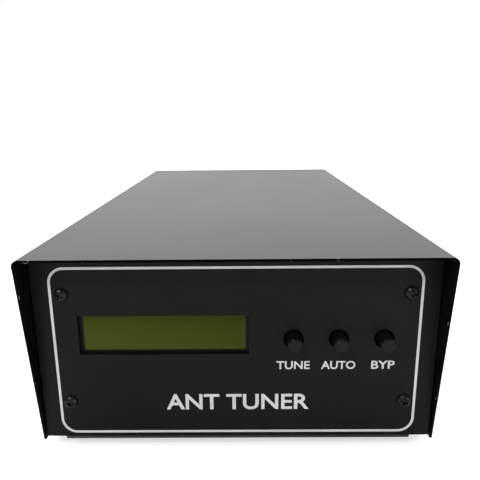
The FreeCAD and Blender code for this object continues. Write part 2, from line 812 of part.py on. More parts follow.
def make_display_header():
    # The sixteen-way pin header that joins the display's board to the board behind it.
    header = Piece("display_header", y=panel_face, z=floor_low)
    count = int(s.header_pins.number)
    header.block(about(window_middle_x, s.header_pitch * s.header_pins),
                 (display_board_back, front_board_front), about(header_height(), s.header_pitch))
    first = window_middle_x - s.header_pitch * (s.header_pins - 1) / 2
    pin = header.block(about(first, s.header_pin_width), (display_board_front, display_board_back),
                       about(header_height(), s.header_pin_width))
    header.grid([pin], ("X", s.header_pitch, count))


def make_display_fixings():
    # Four threaded spacers between the two boards, with a screw in each end.
    spacers = Piece("display_spacers", y=panel_face, z=floor_low)
    x, z = display_corners()[0]
    spacer = spacers.prism("XZ", hexagon(x, z, s.standoff_flats), display_board_back,
                           front_board_front)
    bore = spacers.discs("XZ", [(x, z)], small_tapped_hole, display_board_back - PAST,
                         front_board_front + PAST, cut=True)
    spacers.grid([spacer, bore], ("X", s.display_hole_pitch_x, 2), ("Z", s.display_hole_pitch_z, 2))

    screws = Piece("display_screws", y=panel_face, z=floor_low)
    profile = small_screw_profile(s.board_thickness + s.display_spacer_length / 2 - s.fit_gap)
    front = screws.turned("Y", profile, x=x, y=display_board_front, z=z)
    screws.grid([front], ("X", s.display_hole_pitch_x, 2), ("Z", s.display_hole_pitch_z, 2))
    rear = screws.turned("Y", reversed_profile(profile), x=x, y=front_board_back, z=z)
    screws.grid([rear], ("X", s.display_hole_pitch_x, 2), ("Z", s.display_hole_pitch_z, 2))


# ---------------------------------------------------------------------------
# Buttons and the board behind the front panel
# ---------------------------------------------------------------------------
def front_standoff_spots():
    return [(u * front_standoff_x, z) for u in (-1, 1)
            for z in (s.front_standoff_low, s.front_standoff_high)]


def make_front_board():
    # The board that carries the display and the three push switches.
    board = Piece("front_board", y=panel_face, z=floor_low)
    depth = (front_board_front, front_board_back)
    cut = (front_board_front - PAST, front_board_back + PAST)
    board.block((front_board_left, front_board_right), depth, (s.front_board_low, s.front_board_high))
    board.discs("XZ", display_corners() + front_standoff_spots(), small_shank_hole, *cut, cut=True)

    standoffs = Piece("front_board_standoffs", y=panel_face, z=floor_low)
    x, z = front_standoff_spots()[0]
    rise = s.front_standoff_high - s.front_standoff_low
    post = standoffs.prism("XZ", hexagon(x, z, s.standoff_flats), panel_back, front_board_front)
    bore = standoffs.discs("XZ", [(x, z)], small_tapped_hole, front_board_front - s.front_thread_depth,
                           front_board_front + PAST, cut=True)
    standoffs.grid([post, bore], ("X", 2 * front_standoff_x, 2), ("Z", rise, 2))

    screws = Piece("front_board_screws", y=panel_face, z=floor_low)
    profile = small_screw_profile(s.board_thickness + s.front_screw_grip)
    screw = screws.turned("Y", reversed_profile(profile), x=x, y=front_board_back, z=z)
    screws.grid([screw], ("X", 2 * front_standoff_x, 2), ("Z", rise, 2))


def make_buttons():
    # Three square push switches on the front board. A round cap is pushed on each plunger,
    # and the cap and plunger travel together into the switch body.
    switches = Piece("button_switches", y=panel_face, z=floor_low)
    body_front = front_board_front - s.switch_depth
    hole = s.plunger_width / 2 + s.plunger_gap
    body = switches.block(about(button_first_x, s.switch_width), (body_front, front_board_front),
                          about(s.button_height, s.switch_width))
    well = switches.block((button_first_x - hole, button_first_x + hole),
                          (body_front - PAST, body_front + s.switch_well_depth),
                          (s.button_height - hole, s.button_height + hole), cut=True)
    switches.grid([body, well], ("X", s.button_pitch, 3))

    cap_back = s.button_length - s.button_proud
    for step, label in enumerate(("tune_button", "auto_button", "bypass_button")):
        x = button_first_x + s.button_pitch * step
        button = Piece(label, x=x, y=panel_face, z=floor_low + s.button_height)
        button.discs("XZ", [(0, 0)], s.button_radius, -s.button_proud, cap_back)
        button.round(s.button_rim, circles_at(-s.button_proud, s.button_radius))
        half = s.plunger_width / 2
        button.block(both(half), (cap_back, body_front + s.plunger_engagement), both(half))


# ---------------------------------------------------------------------------
# Main board and what stands on it
# ---------------------------------------------------------------------------
coil_reach = s.coil_radius + s.coil_wire
driver_width = 2 * s.chip_width + s.component_margin
column_widths = [s.relay_length, 2 * coil_reach, s.capacitor_length, s.relay_length, driver_width]
column_edge = s.standoff_inset + s.screw_head_radius + s.screw_head_room


def column_x(index):
    """The middle of one of the five columns of components, spread between the board's screws."""
    room = 2 * board_half - 2 * column_edge
    for width in column_widths:
        room = room - width
    gap = room / (len(column_widths) - 1)
    left = -board_half + column_edge
    for width in column_widths[:index]:
        left = left + width + gap
    return left + column_widths[index] / 2


row_start = board_front + s.relay_end_room


def make_main_board():
    # The tuner's circuit board, on six pressed-in standoffs above the floor.
    board = Piece("main_board", y=panel_face, z=floor_low)
    board.block(both(board_half), (board_front, board_back), (board_low, board_top))
    board.discs("XY", standoff_spots(), shank_hole, board_low - PAST, board_top + PAST, cut=True)

    x, y = standoff_spots()[0]
    step_x = 2 * (board_half - s.standoff_inset)
    step_y = (board_length - 2 * s.standoff_inset) / 2
    standoffs = Piece("board_standoffs", y=panel_face, z=floor_low)
    post = standoffs.prism("XY", hexagon(x, y, s.standoff_flats), s.sheet_thickness, board_low)
    spigot = standoffs.discs("XY", [(x, y)], spigot_radius, 0, s.sheet_thickness)
    bore = standoffs.discs("XY", [(x, y)], tapped_hole, -PAST, board_low + PAST, cut=True)
    standoffs.grid([post, spigot, bore], ("X", step_x, 2), ("Y", step_y, 3))

    screws = Piece("board_screws", y=panel_face, z=floor_low)
    screw = screws.turned("Z", reversed_profile(screw_profile(s.board_screw_length)), x=x, y=y, z=board_top)
    head_top = board_top + s.screw_head_height
    recess = screws.prism("XY", recess_at(x, y), head_top - s.slot_depth, head_top, cut=True)
    screws.grid([screw, recess], ("X", step_x, 2), ("Y", step_y, 3))


def component_row(label, column, size_x, size_y, height, count, end_room):
    """Equal block-shaped components in a row that ends end_room short of the board's edge."""
    row = Piece(label, y=panel_face, z=floor_low)
    step = (board_length - s.relay_end_room - end_room - size_y) / (count - 1)
    block = row.block(about(column_x(column), size_x), (row_start, row_start + size_y),
                      (board_top, board_top + height))
    row.grid([block], ("Y", step, count))


def make_coil(cores, windings, x, y, lift):
    """One ring core lying flat, with the winding that covers most of its way round."""
    low = lift + s.coil_wire
    core = [(low, s.coil_hole_radius), (low, s.coil_radius), (low + s.coil_height, s.coil_radius),
            (low + s.coil_height, s.coil_hole_radius)]
    gap = s.winding_gap
    high = low + s.coil_height
    inner = s.coil_hole_radius - s.coil_wire
    top = high + s.coil_wire
    ring = [(lift, inner), (lift, coil_reach), (top, coil_reach), (top, inner)]
    channel = [(low - gap, s.coil_hole_radius - gap), (low - gap, s.coil_radius + gap),
               (high + gap, s.coil_radius + gap), (high + gap, s.coil_hole_radius - gap)]
    made = cores.turned("Z", core, x=x, y=y)
    sleeve = windings.turned("Z", ring, x=x, y=y, sweep=s.coil_sweep)
    hollow = windings.turned("Z", channel, x=x, y=y, cut=True)
    return made, sleeve, hollow


def make_inductors():
    # Four ring-core inductors in a row, then three small air coils wound on nothing, side
    # by side across the row.
    cores = Piece("inductor_cores", y=panel_face, z=floor_low)
    windings = Piece("inductor_windings", y=panel_face, z=floor_low)
    first = board_front + s.component_margin
    used = 8 * coil_reach + s.air_coil_length
    gap = (board_length - s.component_margin - s.coupler_room - used) / 4
    step = 2 * coil_reach + gap
    x = column_x(1)
    core, sleeve, hollow = make_coil(cores, windings, x, first + coil_reach, board_top)
    cores.grid([core], ("Y", step, 4))
    windings.grid([sleeve, hollow], ("Y", step, 4))

    coils = Piece("air_coils", y=panel_face, z=floor_low)
    inner = s.air_coil_radius - s.air_coil_wall
    half = s.air_coil_length / 2
    tube = [(-half, inner), (-half, s.air_coil_radius), (half, s.air_coil_radius), (half, inner)]
    across = 2 * s.air_coil_radius + s.air_coil_gap
    y = first + step * 4 + half
    left = x - across
    coil = coils.turned("Y", tube, x=left, y=y, z=board_top + s.air_coil_radius + s.coil_lift)
    leg_y = half - s.air_coil_wall / 2
    legs = coils.discs("XY", [(left, y - leg_y), (left, y + leg_y)], s.air_coil_leg_radius, board_top,
                       board_top + s.coil_lift + s.air_coil_leg_radius)
    coils.grid([coil, legs], ("X", across, 3))


def make_directional_coupler():
    # Two ring cores in front of the sockets. A thick rod carries the line through each one,
    # and a fine winding on each ring measures the forward and the reflected wave.
    names = ("coupler_cores", "coupler_windings", "coupler_rods")
    cores, windings, rods = [Piece(name, y=panel_face, z=floor_low) for name in names]
    height = board_top + s.coupler_radius + s.coupler_wire
    middle = board_back - s.coupler_end_room - s.coupler_rod_length / 2
    gap = s.winding_gap
    half = s.coupler_thickness / 2
    hole = s.coupler_hole_radius
    reach = s.coupler_radius
    spot = {"x": coupler_x(), "y": middle, "z": height}
    core = [(-half, hole), (-half, reach), (half, reach), (half, hole)]
    outer = half + s.coupler_wire
    ring = [(-outer, hole - s.coupler_wire), (-outer, reach + s.coupler_wire),
            (outer, reach + s.coupler_wire), (outer, hole - s.coupler_wire)]
    channel = [(-half - gap, hole - gap), (-half - gap, reach + gap), (half + gap, reach + gap),
               (half + gap, hole - gap)]
    span = ("X", coupler_pitch(), 2)
    cores.grid([cores.turned("Y", core, **spot)], span)
    sleeve = windings.turned("Y", ring, sweep=s.coil_sweep, **spot)
    hollow = windings.turned("Y", channel, cut=True, **spot)
    windings.grid([sleeve, hollow], span)
    length = s.coupler_rod_length / 2
    rod = [(-length, 0), (-length, s.coupler_rod_radius), (length, s.coupler_rod_radius), (length, 0)]
    bar = rods.turned("Y", rod, **spot)
    leg_reach = length - s.coupler_rod_radius
    feet = [(coupler_x(), middle - leg_reach), (coupler_x(), middle + leg_reach)]
    legs = rods.discs("XY", feet, s.coupler_leg_radius, board_top, height)
    rods.grid([bar, legs], span)


def coupler_pitch():
    return 2 * (s.coupler_radius + s.coupler_wire) + s.component_margin


def coupler_x():
    return (column_x(1) + column_x(2)) / 2 - coupler_pitch() / 2


def make_small_parts():
    # The right-hand column: controller, two relay drivers side by side, supply capacitors,
    # and the regulator on its heat sink.
    x = column_x(4)
    controller = Piece("microcontroller", y=panel_face, z=floor_low)
    controller.block(about(x, s.chip_width), (row_start, row_start + s.controller_length),
                     (board_top, board_top + s.chip_height))
    drivers = Piece("driver_chips", y=panel_face, z=floor_low)
    begin = row_start + s.controller_length + s.component_margin
    pitch = s.chip_width + s.component_margin
    chip = drivers.block(about(x - pitch / 2, s.chip_width), (begin, begin + s.driver_length),
                         (board_top, board_top + s.chip_height))
    drivers.grid([chip], ("X", pitch, 2))

    sink_front = board_back - s.relay_end_room - s.heat_sink_depth
    sink = Piece("heat_sink", y=panel_face, z=floor_low)
    tall = (board_top, board_top + s.heat_sink_height)
    sink.block(about(x, s.heat_sink_width), (sink_front, sink_front + s.heat_sink_base), tall)
    fin_step = (s.heat_sink_width - s.heat_sink_fin) / (s.heat_sink_fins - 1)
    left = x - s.heat_sink_width / 2
    fin = sink.block((left, left + s.heat_sink_fin),
                     (sink_front + s.heat_sink_base, sink_front + s.heat_sink_depth), tall)
    sink.grid([fin], ("X", fin_step, int(s.heat_sink_fins.number)))
    regulator = Piece("voltage_regulator", y=panel_face, z=floor_low)
    regulator.block(about(x, s.regulator_width), (sink_front - s.regulator_thickness, sink_front),
                    (board_top, board_top + s.regulator_height))

    cans = Piece("supply_capacitors", y=panel_face, z=floor_low)
    can_step = 2 * s.supply_capacitor_radius + s.component_margin
    can_y = sink_front - s.regulator_thickness - can_step - s.supply_capacitor_radius - s.component_margin
    can = cans.discs("XY", [(x, can_y)], s.supply_capacitor_radius, board_top,
                     board_top + s.supply_capacitor_height)
    cans.grid([can], ("Y", can_step, 2))


def make_board_connectors():
    # The box header for the front board's ribbon, and the supply terminal at the back.
    connectors = Piece("board_connectors", y=panel_face, z=floor_low)
    low = board_front + s.component_margin
    connectors.block(about(0, s.ribbon_width), (low, low + s.plug_depth),
                     (board_top, board_top + s.plug_height))
    x, y = terminal_spot()
    connectors.block(about(x, s.terminal_width), (y, y + s.terminal_depth),
                     (board_top, board_top + s.terminal_height))


def terminal_spot():
    return jack_x(), board_back - s.terminal_depth - s.terminal_inset


# ---------------------------------------------------------------------------
# Rear connectors
# ---------------------------------------------------------------------------
def make_socket(label, x):
    """A square-flanged coaxial socket with a threaded barrel, bolted to the rear panel."""
    socket = Piece(label, x=x, y=rear_face, z=floor_low + s.socket_height)
    half = s.socket_flange / 2
    flange = s.socket_flange_thickness
    socket.block(both(half), (0, flange), both(half))
    end = flange + s.socket_barrel_length
    chamfer = s.socket_chamfer
    barrel = [(flange, 0), (flange, s.socket_barrel_radius), (end - chamfer, s.socket_barrel_radius),
              (end, s.socket_barrel_radius - chamfer), (end, 0)]
    socket.turned("Y", barrel)
    back = s.panel_thickness + s.socket_back_length
    socket.discs("XZ", [(0, 0)], s.socket_back_radius, -back, 0)
    bore = s.socket_bore_radius
    neck = s.socket_back_radius - s.socket_back_wall
    hollow = [(end + PAST, 0), (end + PAST, bore), (flange, bore), (flange, neck), (-back - PAST, neck),
              (-back - PAST, 0)]
    socket.turned("Y", hollow, cut=True)
    reach = s.socket_hole_pitch / 2
    corners = [(u * reach, v * reach) for u in (-1, 1) for v in (-1, 1)]
    socket.discs("XZ", corners, shank_hole, -PAST, flange + PAST, cut=True)


def socket_group(label):
    """A group piece whose first member sits on the output socket's axis."""
    return Piece(label, x=output_x(), y=rear_face, z=floor_low + s.socket_height)


def make_socket_insides():
    # The insulator fills each barrel around a silvered centre contact, whose bore takes the
    # plug's pin and whose tail takes the lead.
    pair = ("X", s.socket_spacing, 2)
    gap = s.thread_clearance
    face = s.socket_flange_thickness + s.socket_barrel_length - s.socket_recess
    back = s.panel_thickness + s.socket_back_length
    bore = s.socket_bore_radius - gap
    neck = s.socket_back_radius - s.socket_back_wall - gap
    core = s.contact_radius + gap
    step = s.socket_flange_thickness + gap
    insulators = socket_group("socket_insulators")
    profile = [(face, core), (face, bore), (step, bore), (step, neck), (-back, neck), (-back, core)]
    insulators.grid([insulators.turned("Y", profile)], pair)

    contacts = socket_group("socket_contacts")
    tail = -back - s.contact_back_length
    deep = face - s.contact_bore_depth
    slim = s.contact_tail_radius
    profile = [(face, s.contact_bore_radius), (face, s.contact_radius), (-back, s.contact_radius),
               (-back, slim), (tail, slim), (tail, 0), (deep, 0), (deep, s.contact_bore_radius)]
    contacts.grid([contacts.turned("Y", profile)], pair)


def make_socket_fixings():
    # Four screws and nuts hold each socket's flange to the rear panel.
    pair = ("X", s.socket_spacing, 2)
    reach = s.socket_hole_pitch / 2
    spots = [(u * reach, v * reach) for u in (-1, 1) for v in (-1, 1)]
    screws = socket_group("socket_screws")
    profile = reversed_profile(screw_profile(s.socket_screw_length))
    head = s.socket_flange_thickness + s.screw_head_height
    made = []
    for x, z in spots:
        made.append(screws.turned("Y", profile, x=x, y=s.socket_flange_thickness, z=z))
        made.append(screws.prism("XZ", recess_at(x, z), head - s.slot_depth, head, cut=True))
    screws.grid(made, pair)

    nuts = socket_group("socket_nuts")
    made = []
    low = -s.panel_thickness - s.nut_thickness
    for x, z in spots:
        made.append(nuts.prism("XZ", hexagon(x, z, s.nut_flats), low, -s.panel_thickness))
        made.append(nuts.discs("XZ", [(x, z)], tapped_hole, low - PAST, PAST - s.panel_thickness, cut=True))
    nuts.grid(made, pair)


def make_power_jack():
    # A barrel jack for the 12 to 15 V supply, held in the panel by its own nut.
    jack = Piece("power_jack", x=jack_x(), y=rear_face, z=floor_low + s.jack_height)
    back = s.panel_thickness + s.jack_body_length
    front = s.jack_front_length + s.jack_nut_thickness
    shell = [(front, 0), (front, s.jack_thread_radius), (-s.panel_thickness, s.jack_thread_radius),
             (-s.panel_thickness, s.jack_body_radius), (-back, s.jack_body_radius), (-back, 0)]
    jack.turned("Y", shell)
    bottom = front - s.jack_bore_depth
    well = [(front + PAST, s.jack_pin_radius), (front + PAST, s.jack_bore_radius),
            (bottom, s.jack_bore_radius), (bottom, s.jack_pin_radius)]
    jack.turned("Y", well, cut=True)
    jack.discs("XZ", [(0, 0)], s.jack_pin_radius + s.jack_bore_wall, front - s.jack_pin_set_back,
               front + PAST, cut=True)

    nut = Piece("power_jack_nut", x=jack_x(), y=rear_face, z=floor_low + s.jack_height)
    nut.prism("XZ", hexagon(0, 0, s.jack_nut_flats), 0, s.jack_nut_thickness)
    nut.discs("XZ", [(0, 0)], s.jack_thread_radius + s.thread_clearance, -PAST,
              s.jack_nut_thickness + PAST, cut=True)


def make_ground_terminal():
    # A threaded stud through the rear panel, clamped by a nut and washer on each side; the
    # wing nut outside clamps the earth wire.
    spot = {"x": ground_x(), "y": rear_face, "z": floor_low + s.ground_height}
    nut = s.stud_nut_thickness
    washer = s.washer_thickness
    stud = Piece("ground_stud", **spot)
    end = s.stud_outside
    inside = s.panel_thickness + s.stud_inside
    stud.turned("Y", [(-inside, 0), (-inside, s.stud_radius), (end - s.stud_chamfer, s.stud_radius),
                      (end, s.stud_radius - s.stud_chamfer), (end, 0)])
    hole = s.stud_radius + s.thread_clearance

    washers = Piece("ground_washers", **spot)
    outer = (0, washer)
    inner = (-s.panel_thickness - washer, -s.panel_thickness)
    clamped = (washer + nut, 2 * washer + nut)
    for low, high in (outer, inner, clamped):
        washers.discs("XZ", [(0, 0)], s.washer_radius, low, high)
    washers.discs("XZ", [(0, 0)], hole, inner[0] - PAST, clamped[1] + PAST, cut=True)

    nuts = Piece("ground_nuts", **spot)
    inner = (-s.panel_thickness - washer - nut, -s.panel_thickness - washer)
    for low, high in ((washer, washer + nut), inner):
        nuts.prism("XZ", hexagon(0, 0, s.stud_nut_flats), low, high)
    nuts.discs("XZ", [(0, 0)], hole, inner[0] - PAST, washer + nut + PAST, cut=True)

    wing = Piece("ground_wing_nut", **spot)
    base = 2 * washer + nut + s.fit_gap
    top = base + s.wing_hub_length
    hub = [(base, 0), (base, s.wing_hub_radius), (top, s.wing_hub_top_radius), (top, 0)]
    wing.turned("Y", hub)
    reach = s.wing_span / 2
    root = s.wing_root
    low = base + s.wing_root_lift
    high = base + s.wing_height
    for side in (-1, 1):
        blade = [(side * root, low), (side * root, top), (side * (reach - s.wing_tip_width), high),
                 (side * reach, high), (side * reach, high - s.wing_tip_height),
                 (side * (root + s.wing_slope), low)]
        wing.prism("XY", blade, -s.wing_thickness / 2, s.wing_thickness / 2)
    wing.discs("XZ", [(0, 0)], s.stud_radius + s.wing_bore_gap, base - PAST, high + PAST, cut=True)


# ---------------------------------------------------------------------------
# Leads inside the case
# ---------------------------------------------------------------------------
def route(points, share=0.45):
    """Straight runs joined by arcs as large as the runs at each corner allow."""
    edges = []
    start = points[0]
    for before, corner, after in zip(points, points[1:], points[2:]):
        back = (before - corner).normalize()
        ahead = (after - corner).normalize()
        turn = math.pi - back.getAngle(ahead)
        tangent = share * min((corner - before).Length, (after - corner).Length)
        radius = tangent / math.tan(turn / 2)
        middle_line = (back + ahead).normalize()
        centre = corner + middle_line * (radius / math.cos(turn / 2))
        enter = corner + back * tangent
        leave = corner + ahead * tangent
        edges.append(Part.LineSegment(start, enter).toShape())
        edges.append(Part.Arc(enter, centre - middle_line * radius, leave).toShape())
        print(f"  bend radius {radius:.1f} mm")
        start = leave
    edges.append(Part.LineSegment(start, points[-1]).toShape())
    return Part.Wire(edges)


def swept(points, section):
    """A solid swept along the route of points, checked against section area times length."""
    path = route(points)
    solid = path.makePipeShell([section], True, True)
    expected = Part.Face(section).Area * path.Length
    if abs(solid.Volume - expected) > 0.02 * expected:
        raise ValueError(f"a lead's volume is {solid.Volume:.1f}, not {expected:.1f}")
    return solid


def world(x, y, z):
    """A point from its bound sizes, in the tuner's own frame."""
    return Vector(as_size(x).number, as_size(y).number, as_size(z).number)


def make_lead(label, routes, radius):
    """One node of insulated wires, each along its own route."""
    solids = []
    for points in routes:
        heading = points[1] - points[0]
        section = Part.Wire([Part.Circle(points[0], heading, radius.number).toShape()])
        solids.append(swept(points, section))
    feature = document.addObject("Part::Feature", label)
    feature.Shape = solids[0] if len(solids) == 1 else Part.makeCompound(solids)
    feature.Label = label
    feature.Placement = FreeCAD.Placement()
    nodes.append(feature)


def make_leads():
    # The two heavy leads drop from the socket contacts to the board; the supply pair runs
    # from the jack to its terminal; a flat ribbon joins the two boards.
    tail = rear_face - s.panel_thickness - s.socket_back_length - s.contact_back_length
    height = floor_low + s.socket_height
    top = floor_low + board_top
    radius = s.signal_lead_radius
    for label, x in (("output_lead", output_x()), ("input_lead", input_x())):
        landing = panel_face + board_back - s.component_margin - radius
        points = [world(x, tail, height), world(x, landing, height), world(x, landing, top)]
        make_lead(label, [points], radius)

    radius = s.supply_lead_radius
    x, y = terminal_spot()
    jack_tail = rear_face - s.panel_thickness - s.jack_body_length
    jack_z = floor_low + s.jack_height
    mouth = panel_face + y + s.terminal_depth / 2
    landing = floor_low + board_top + s.terminal_height
    pair = []
    for side in (-1, 1):
        offset = side * s.terminal_width / 4
        pair.append([world(x + offset, jack_tail, jack_z), world(x + offset, mouth, jack_z),
                     world(x + offset, mouth, landing)])
    make_lead("power_leads", pair, radius)

    depth = panel_face + front_board_back
    low = floor_low + s.ribbon_height
    plug = panel_face + board_front + s.component_margin + s.plug_depth / 2
    points = [world(0, depth, low), world(0, plug, low),
              world(0, plug, floor_low + board_top + s.plug_height)]
    half_width = s.ribbon_width.number / 2
    half_thick = s.ribbon_thickness.number / 2
    corners = [Vector(u * half_width, points[0].y, points[0].z + v * half_thick)
               for u, v in ((-1, -1), (1, -1), (1, 1), (-1, 1), (-1, -1))]
    ribbon = document.addObject("Part::Feature", "display_ribbon")
    ribbon.Shape = swept(points, Part.makePolygon(corners))
    ribbon.Label = "display_ribbon"
    ribbon.Placement = FreeCAD.Placement()
    nodes.append(ribbon)


# ---------------------------------------------------------------------------
# Assembly
# ---------------------------------------------------------------------------
def build():
    make_top_cover()
    make_cover_screws()
    make_chassis()
    make_corner_brackets()
    make_bracket_rivets()
    make_front_panel()
    panel_screw_set("front_panel_screws", panel_face, 1)
    make_rear_panel()
    panel_screw_set("rear_panel_screws", rear_face, -1)
    make_feet()
    make_display()
    make_display_header()
    make_display_fixings()
    make_front_board()
    make_buttons()
    make_main_board()
    relay = (s.relay_length, s.relay_width, s.relay_height)
    capacitor = (s.capacitor_length, s.capacitor_width, s.capacitor_height)
    component_row("inductor_relays", 0, *relay, 8, s.relay_end_room)
    make_inductors()
    component_row("tuning_capacitors", 2, *capacitor, 8, s.coupler_room)
    component_row("capacitor_relays", 3, *relay, 8, s.relay_end_room)
    make_directional_coupler()
    make_small_parts()
    make_board_connectors()
    make_socket("output_socket", output_x())
    make_socket("input_socket", input_x())
    make_socket_insides()
    make_socket_fixings()
    make_power_jack()
    make_ground_terminal()
    make_leads()
    document.recompute()


def check():
    """Stop if any feature failed, if a cut took nothing away, or if a piece is not valid."""
    faults = []
    for item in document.Objects:
        if "Invalid" in item.State or "Error" in item.State:
            faults.append(f"{item.Name} failed to compute")
        if item.TypeId in ("PartDesign::Pocket", "PartDesign::Groove", "PartDesign::SubtractiveBox"):
            if item.BaseFeature.Shape.Volume - item.Shape.Volume < 1e-6:
                faults.append(f"{item.Name} cuts nothing")
    for node in nodes:
        if node.Shape.isNull() or not node.Shape.isValid():
            faults.append(f"{node.Label} has no valid shape")
    if faults:
        raise RuntimeError("; ".join(faults))


def write():
    os.makedirs("parts", exist_ok=True)
    for node in nodes:
        node.Shape.exportStep(os.path.join("parts", f"{node.Label}.step"))
        box = node.Shape.BoundBox
        print(f"{node.Label:24s} {len(node.Shape.Solids):3d} solids  {box.XLength:7.2f} {box.YLength:7.2f} "
              f"{box.ZLength:7.2f}  volume {node.Shape.Volume:10.1f}")


build()
check()
write()
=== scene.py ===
import math
import bmesh
import bpy
from mathutils import Matrix, Vector


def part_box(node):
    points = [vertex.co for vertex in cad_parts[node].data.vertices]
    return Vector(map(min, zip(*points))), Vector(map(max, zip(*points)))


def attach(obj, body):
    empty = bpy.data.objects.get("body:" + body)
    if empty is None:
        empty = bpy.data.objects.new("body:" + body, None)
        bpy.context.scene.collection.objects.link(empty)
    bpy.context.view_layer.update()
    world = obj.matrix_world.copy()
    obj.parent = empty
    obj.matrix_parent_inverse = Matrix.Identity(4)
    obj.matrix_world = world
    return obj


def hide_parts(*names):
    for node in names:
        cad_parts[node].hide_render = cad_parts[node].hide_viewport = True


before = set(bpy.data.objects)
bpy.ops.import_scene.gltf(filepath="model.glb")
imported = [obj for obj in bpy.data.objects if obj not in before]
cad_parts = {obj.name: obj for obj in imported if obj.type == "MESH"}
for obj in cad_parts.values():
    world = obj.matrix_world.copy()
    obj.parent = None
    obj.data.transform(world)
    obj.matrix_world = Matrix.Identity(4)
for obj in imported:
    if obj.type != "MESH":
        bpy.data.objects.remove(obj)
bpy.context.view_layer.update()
MM = 0.001

# ---------------------------------------------------------------------------
# Camera
# It stands in front of the tuner, a little above its top, and looks slightly down at it
# from close by, so the cover's sides draw together towards the back.
# ---------------------------------------------------------------------------
eye = Vector((3.52, -324.2, 134.56)) * MM
pitch, yaw, roll = 0.2435, 0.0092, -0.0093
focal_share = 1.0472083                         # focal length as a share of the picture's width
ahead = Vector((-math.sin(yaw) * math.cos(pitch), math.cos(yaw) * math.cos(pitch), -math.sin(pitch)))
level = Vector((math.cos(yaw), math.sin(yaw), 0.0))
above = level.cross(ahead)
right = level * math.cos(roll) + above * math.sin(roll)
upward = right.cross(ahead)
lens_data = bpy.data.cameras.new("camera")
lens_data.sensor_width = 36.0
lens_data.lens = lens_data.sensor_width * focal_share
lens_data.clip_start = 0.01
lens_data.clip_end = 60.0
camera = bpy.data.objects.new("camera", lens_data)
turned_to = Matrix((right, upward, -ahead)).transposed().to_4x4()
camera.matrix_world = Matrix.Translation(eye) @ turned_to
bpy.context.scene.collection.objects.link(camera)
bpy.context.scene.camera = camera

# ---------------------------------------------------------------------------
# Studio
# A pale matt floor in a white surround, one wide soft lamp overhead and two small ones in
# front. Floor and surround look white to the camera but light the tuner less strongly than
# they look, so its black paint stays black. None of it belongs to the tuner.
# ---------------------------------------------------------------------------


def feed(tree, node, **inputs):
    """Set or link a node's inputs, named with _ for a space, or _3 for the fourth socket."""
    for name, value in inputs.items():
        socket = node.inputs[int(name[1:]) if name[1:].isdigit() else name.replace("_", " ")]
        if isinstance(value, bpy.types.NodeSocket):
            tree.links.new(value, socket)
        else:
            socket.default_value = value


def put(tree, kind, settings=None, **inputs):
    """Add a node with its settings and inputs."""
    made = tree.nodes.new(kind)
    for name, value in (settings or {}).items():
        setattr(made, name, value)
    feed(tree, made, **inputs)
    return made


def calc(tree, operation, first, second=0.0):
    """One Math node's result."""
    return put(tree, "ShaderNodeMath", {"operation": operation}, _0=first, _1=second).outputs[0]


def times(tree, first, second):
    return calc(tree, "MULTIPLY", first, second)


def split(tree, vector):
    """A vector's X, Y and Z."""
    return put(tree, "ShaderNodeSeparateXYZ", _0=vector).outputs


def ramp(tree, value, start=0.0, stop=1.0, low=0.0, high=1.0, kind="LINEAR"):
    """Carry a value's run from start to stop over to the run from low to high."""
    return put(tree, "ShaderNodeMapRange", {"interpolation_type": kind}, Value=value, From_Min=start,
               From_Max=stop, To_Min=low, To_Max=high).outputs["Result"]


def mix(tree, share, first, second):
    return put(tree, "ShaderNodeMix", {"data_type": "FLOAT"}, _0=share, _2=first, _3=second).outputs[0]


def new_material(name, **inputs):
    """A material that is one Principled BSDF; the inputs are the shader's own."""
    material = bpy.data.materials.new(name)
    material.use_nodes = True
    tree = material.node_tree
    tree.nodes.clear()
    shader = put(tree, "ShaderNodeBsdfPrincipled", **inputs)
    put(tree, "ShaderNodeOutputMaterial", Surface=shader.outputs["BSDF"])
    return material, tree, shader


def piece_from(name, data):
    piece = bpy.data.objects.new(name, data)
    bpy.context.scene.collection.objects.link(piece)
    return piece


floor_reach, floor_grey, floor_glow = 30.0, 0.68, 0.62
floor_mesh = bpy.data.meshes.new("floor")
corners = [(x * floor_reach, y * floor_reach, 0) for x, y in ((-1, -1), (1, -1), (1, 1), (-1, 1))]
floor_mesh.from_pydata(corners, [], [(0, 1, 2, 3)])
floor = piece_from("floor", floor_mesh)
floor_paint, tree, shader = new_material(
    "floor_paint", Base_Color=(floor_grey, floor_grey, floor_grey, 1), Roughness=0.9, Specular_IOR_Level=0.1,
    Emission_Color=(1, 1, 1, 1))
seen = put(tree, "ShaderNodeLightPath").outputs["Is Camera Ray"]
feed(tree, shader, Emission_Strength=times(tree, seen, floor_glow))
floor_mesh.materials.append(floor_paint)


def softbox(name, place, target, width, depth, power, colour=(1.0, 1.0, 1.0)):
    lamp = bpy.data.lights.new(name, "AREA")
    lamp.shape = "RECTANGLE"
    lamp.size, lamp.size_y, lamp.energy, lamp.color = width, depth, power, colour
    holder = piece_from(name, lamp)
    holder.location = place
    holder.rotation_euler = (Vector(target) - Vector(place)).to_track_quat("-Z", "Y").to_euler()


softbox("lamp_above", (-0.25, 0.3, 1.5), (0.0, 0.0, 0.05), 1.8, 1.6, 34.0)
softbox("lamp_key", (-0.5, -0.9, 0.9), (0.0, -0.14, 0.04), 0.22, 0.22, 7.0)
softbox("lamp_front", (1.1, -1.2, 0.2), (0.05, -0.14, 0.04), 0.9, 0.35, 4.0, (1.0, 0.82, 0.66))

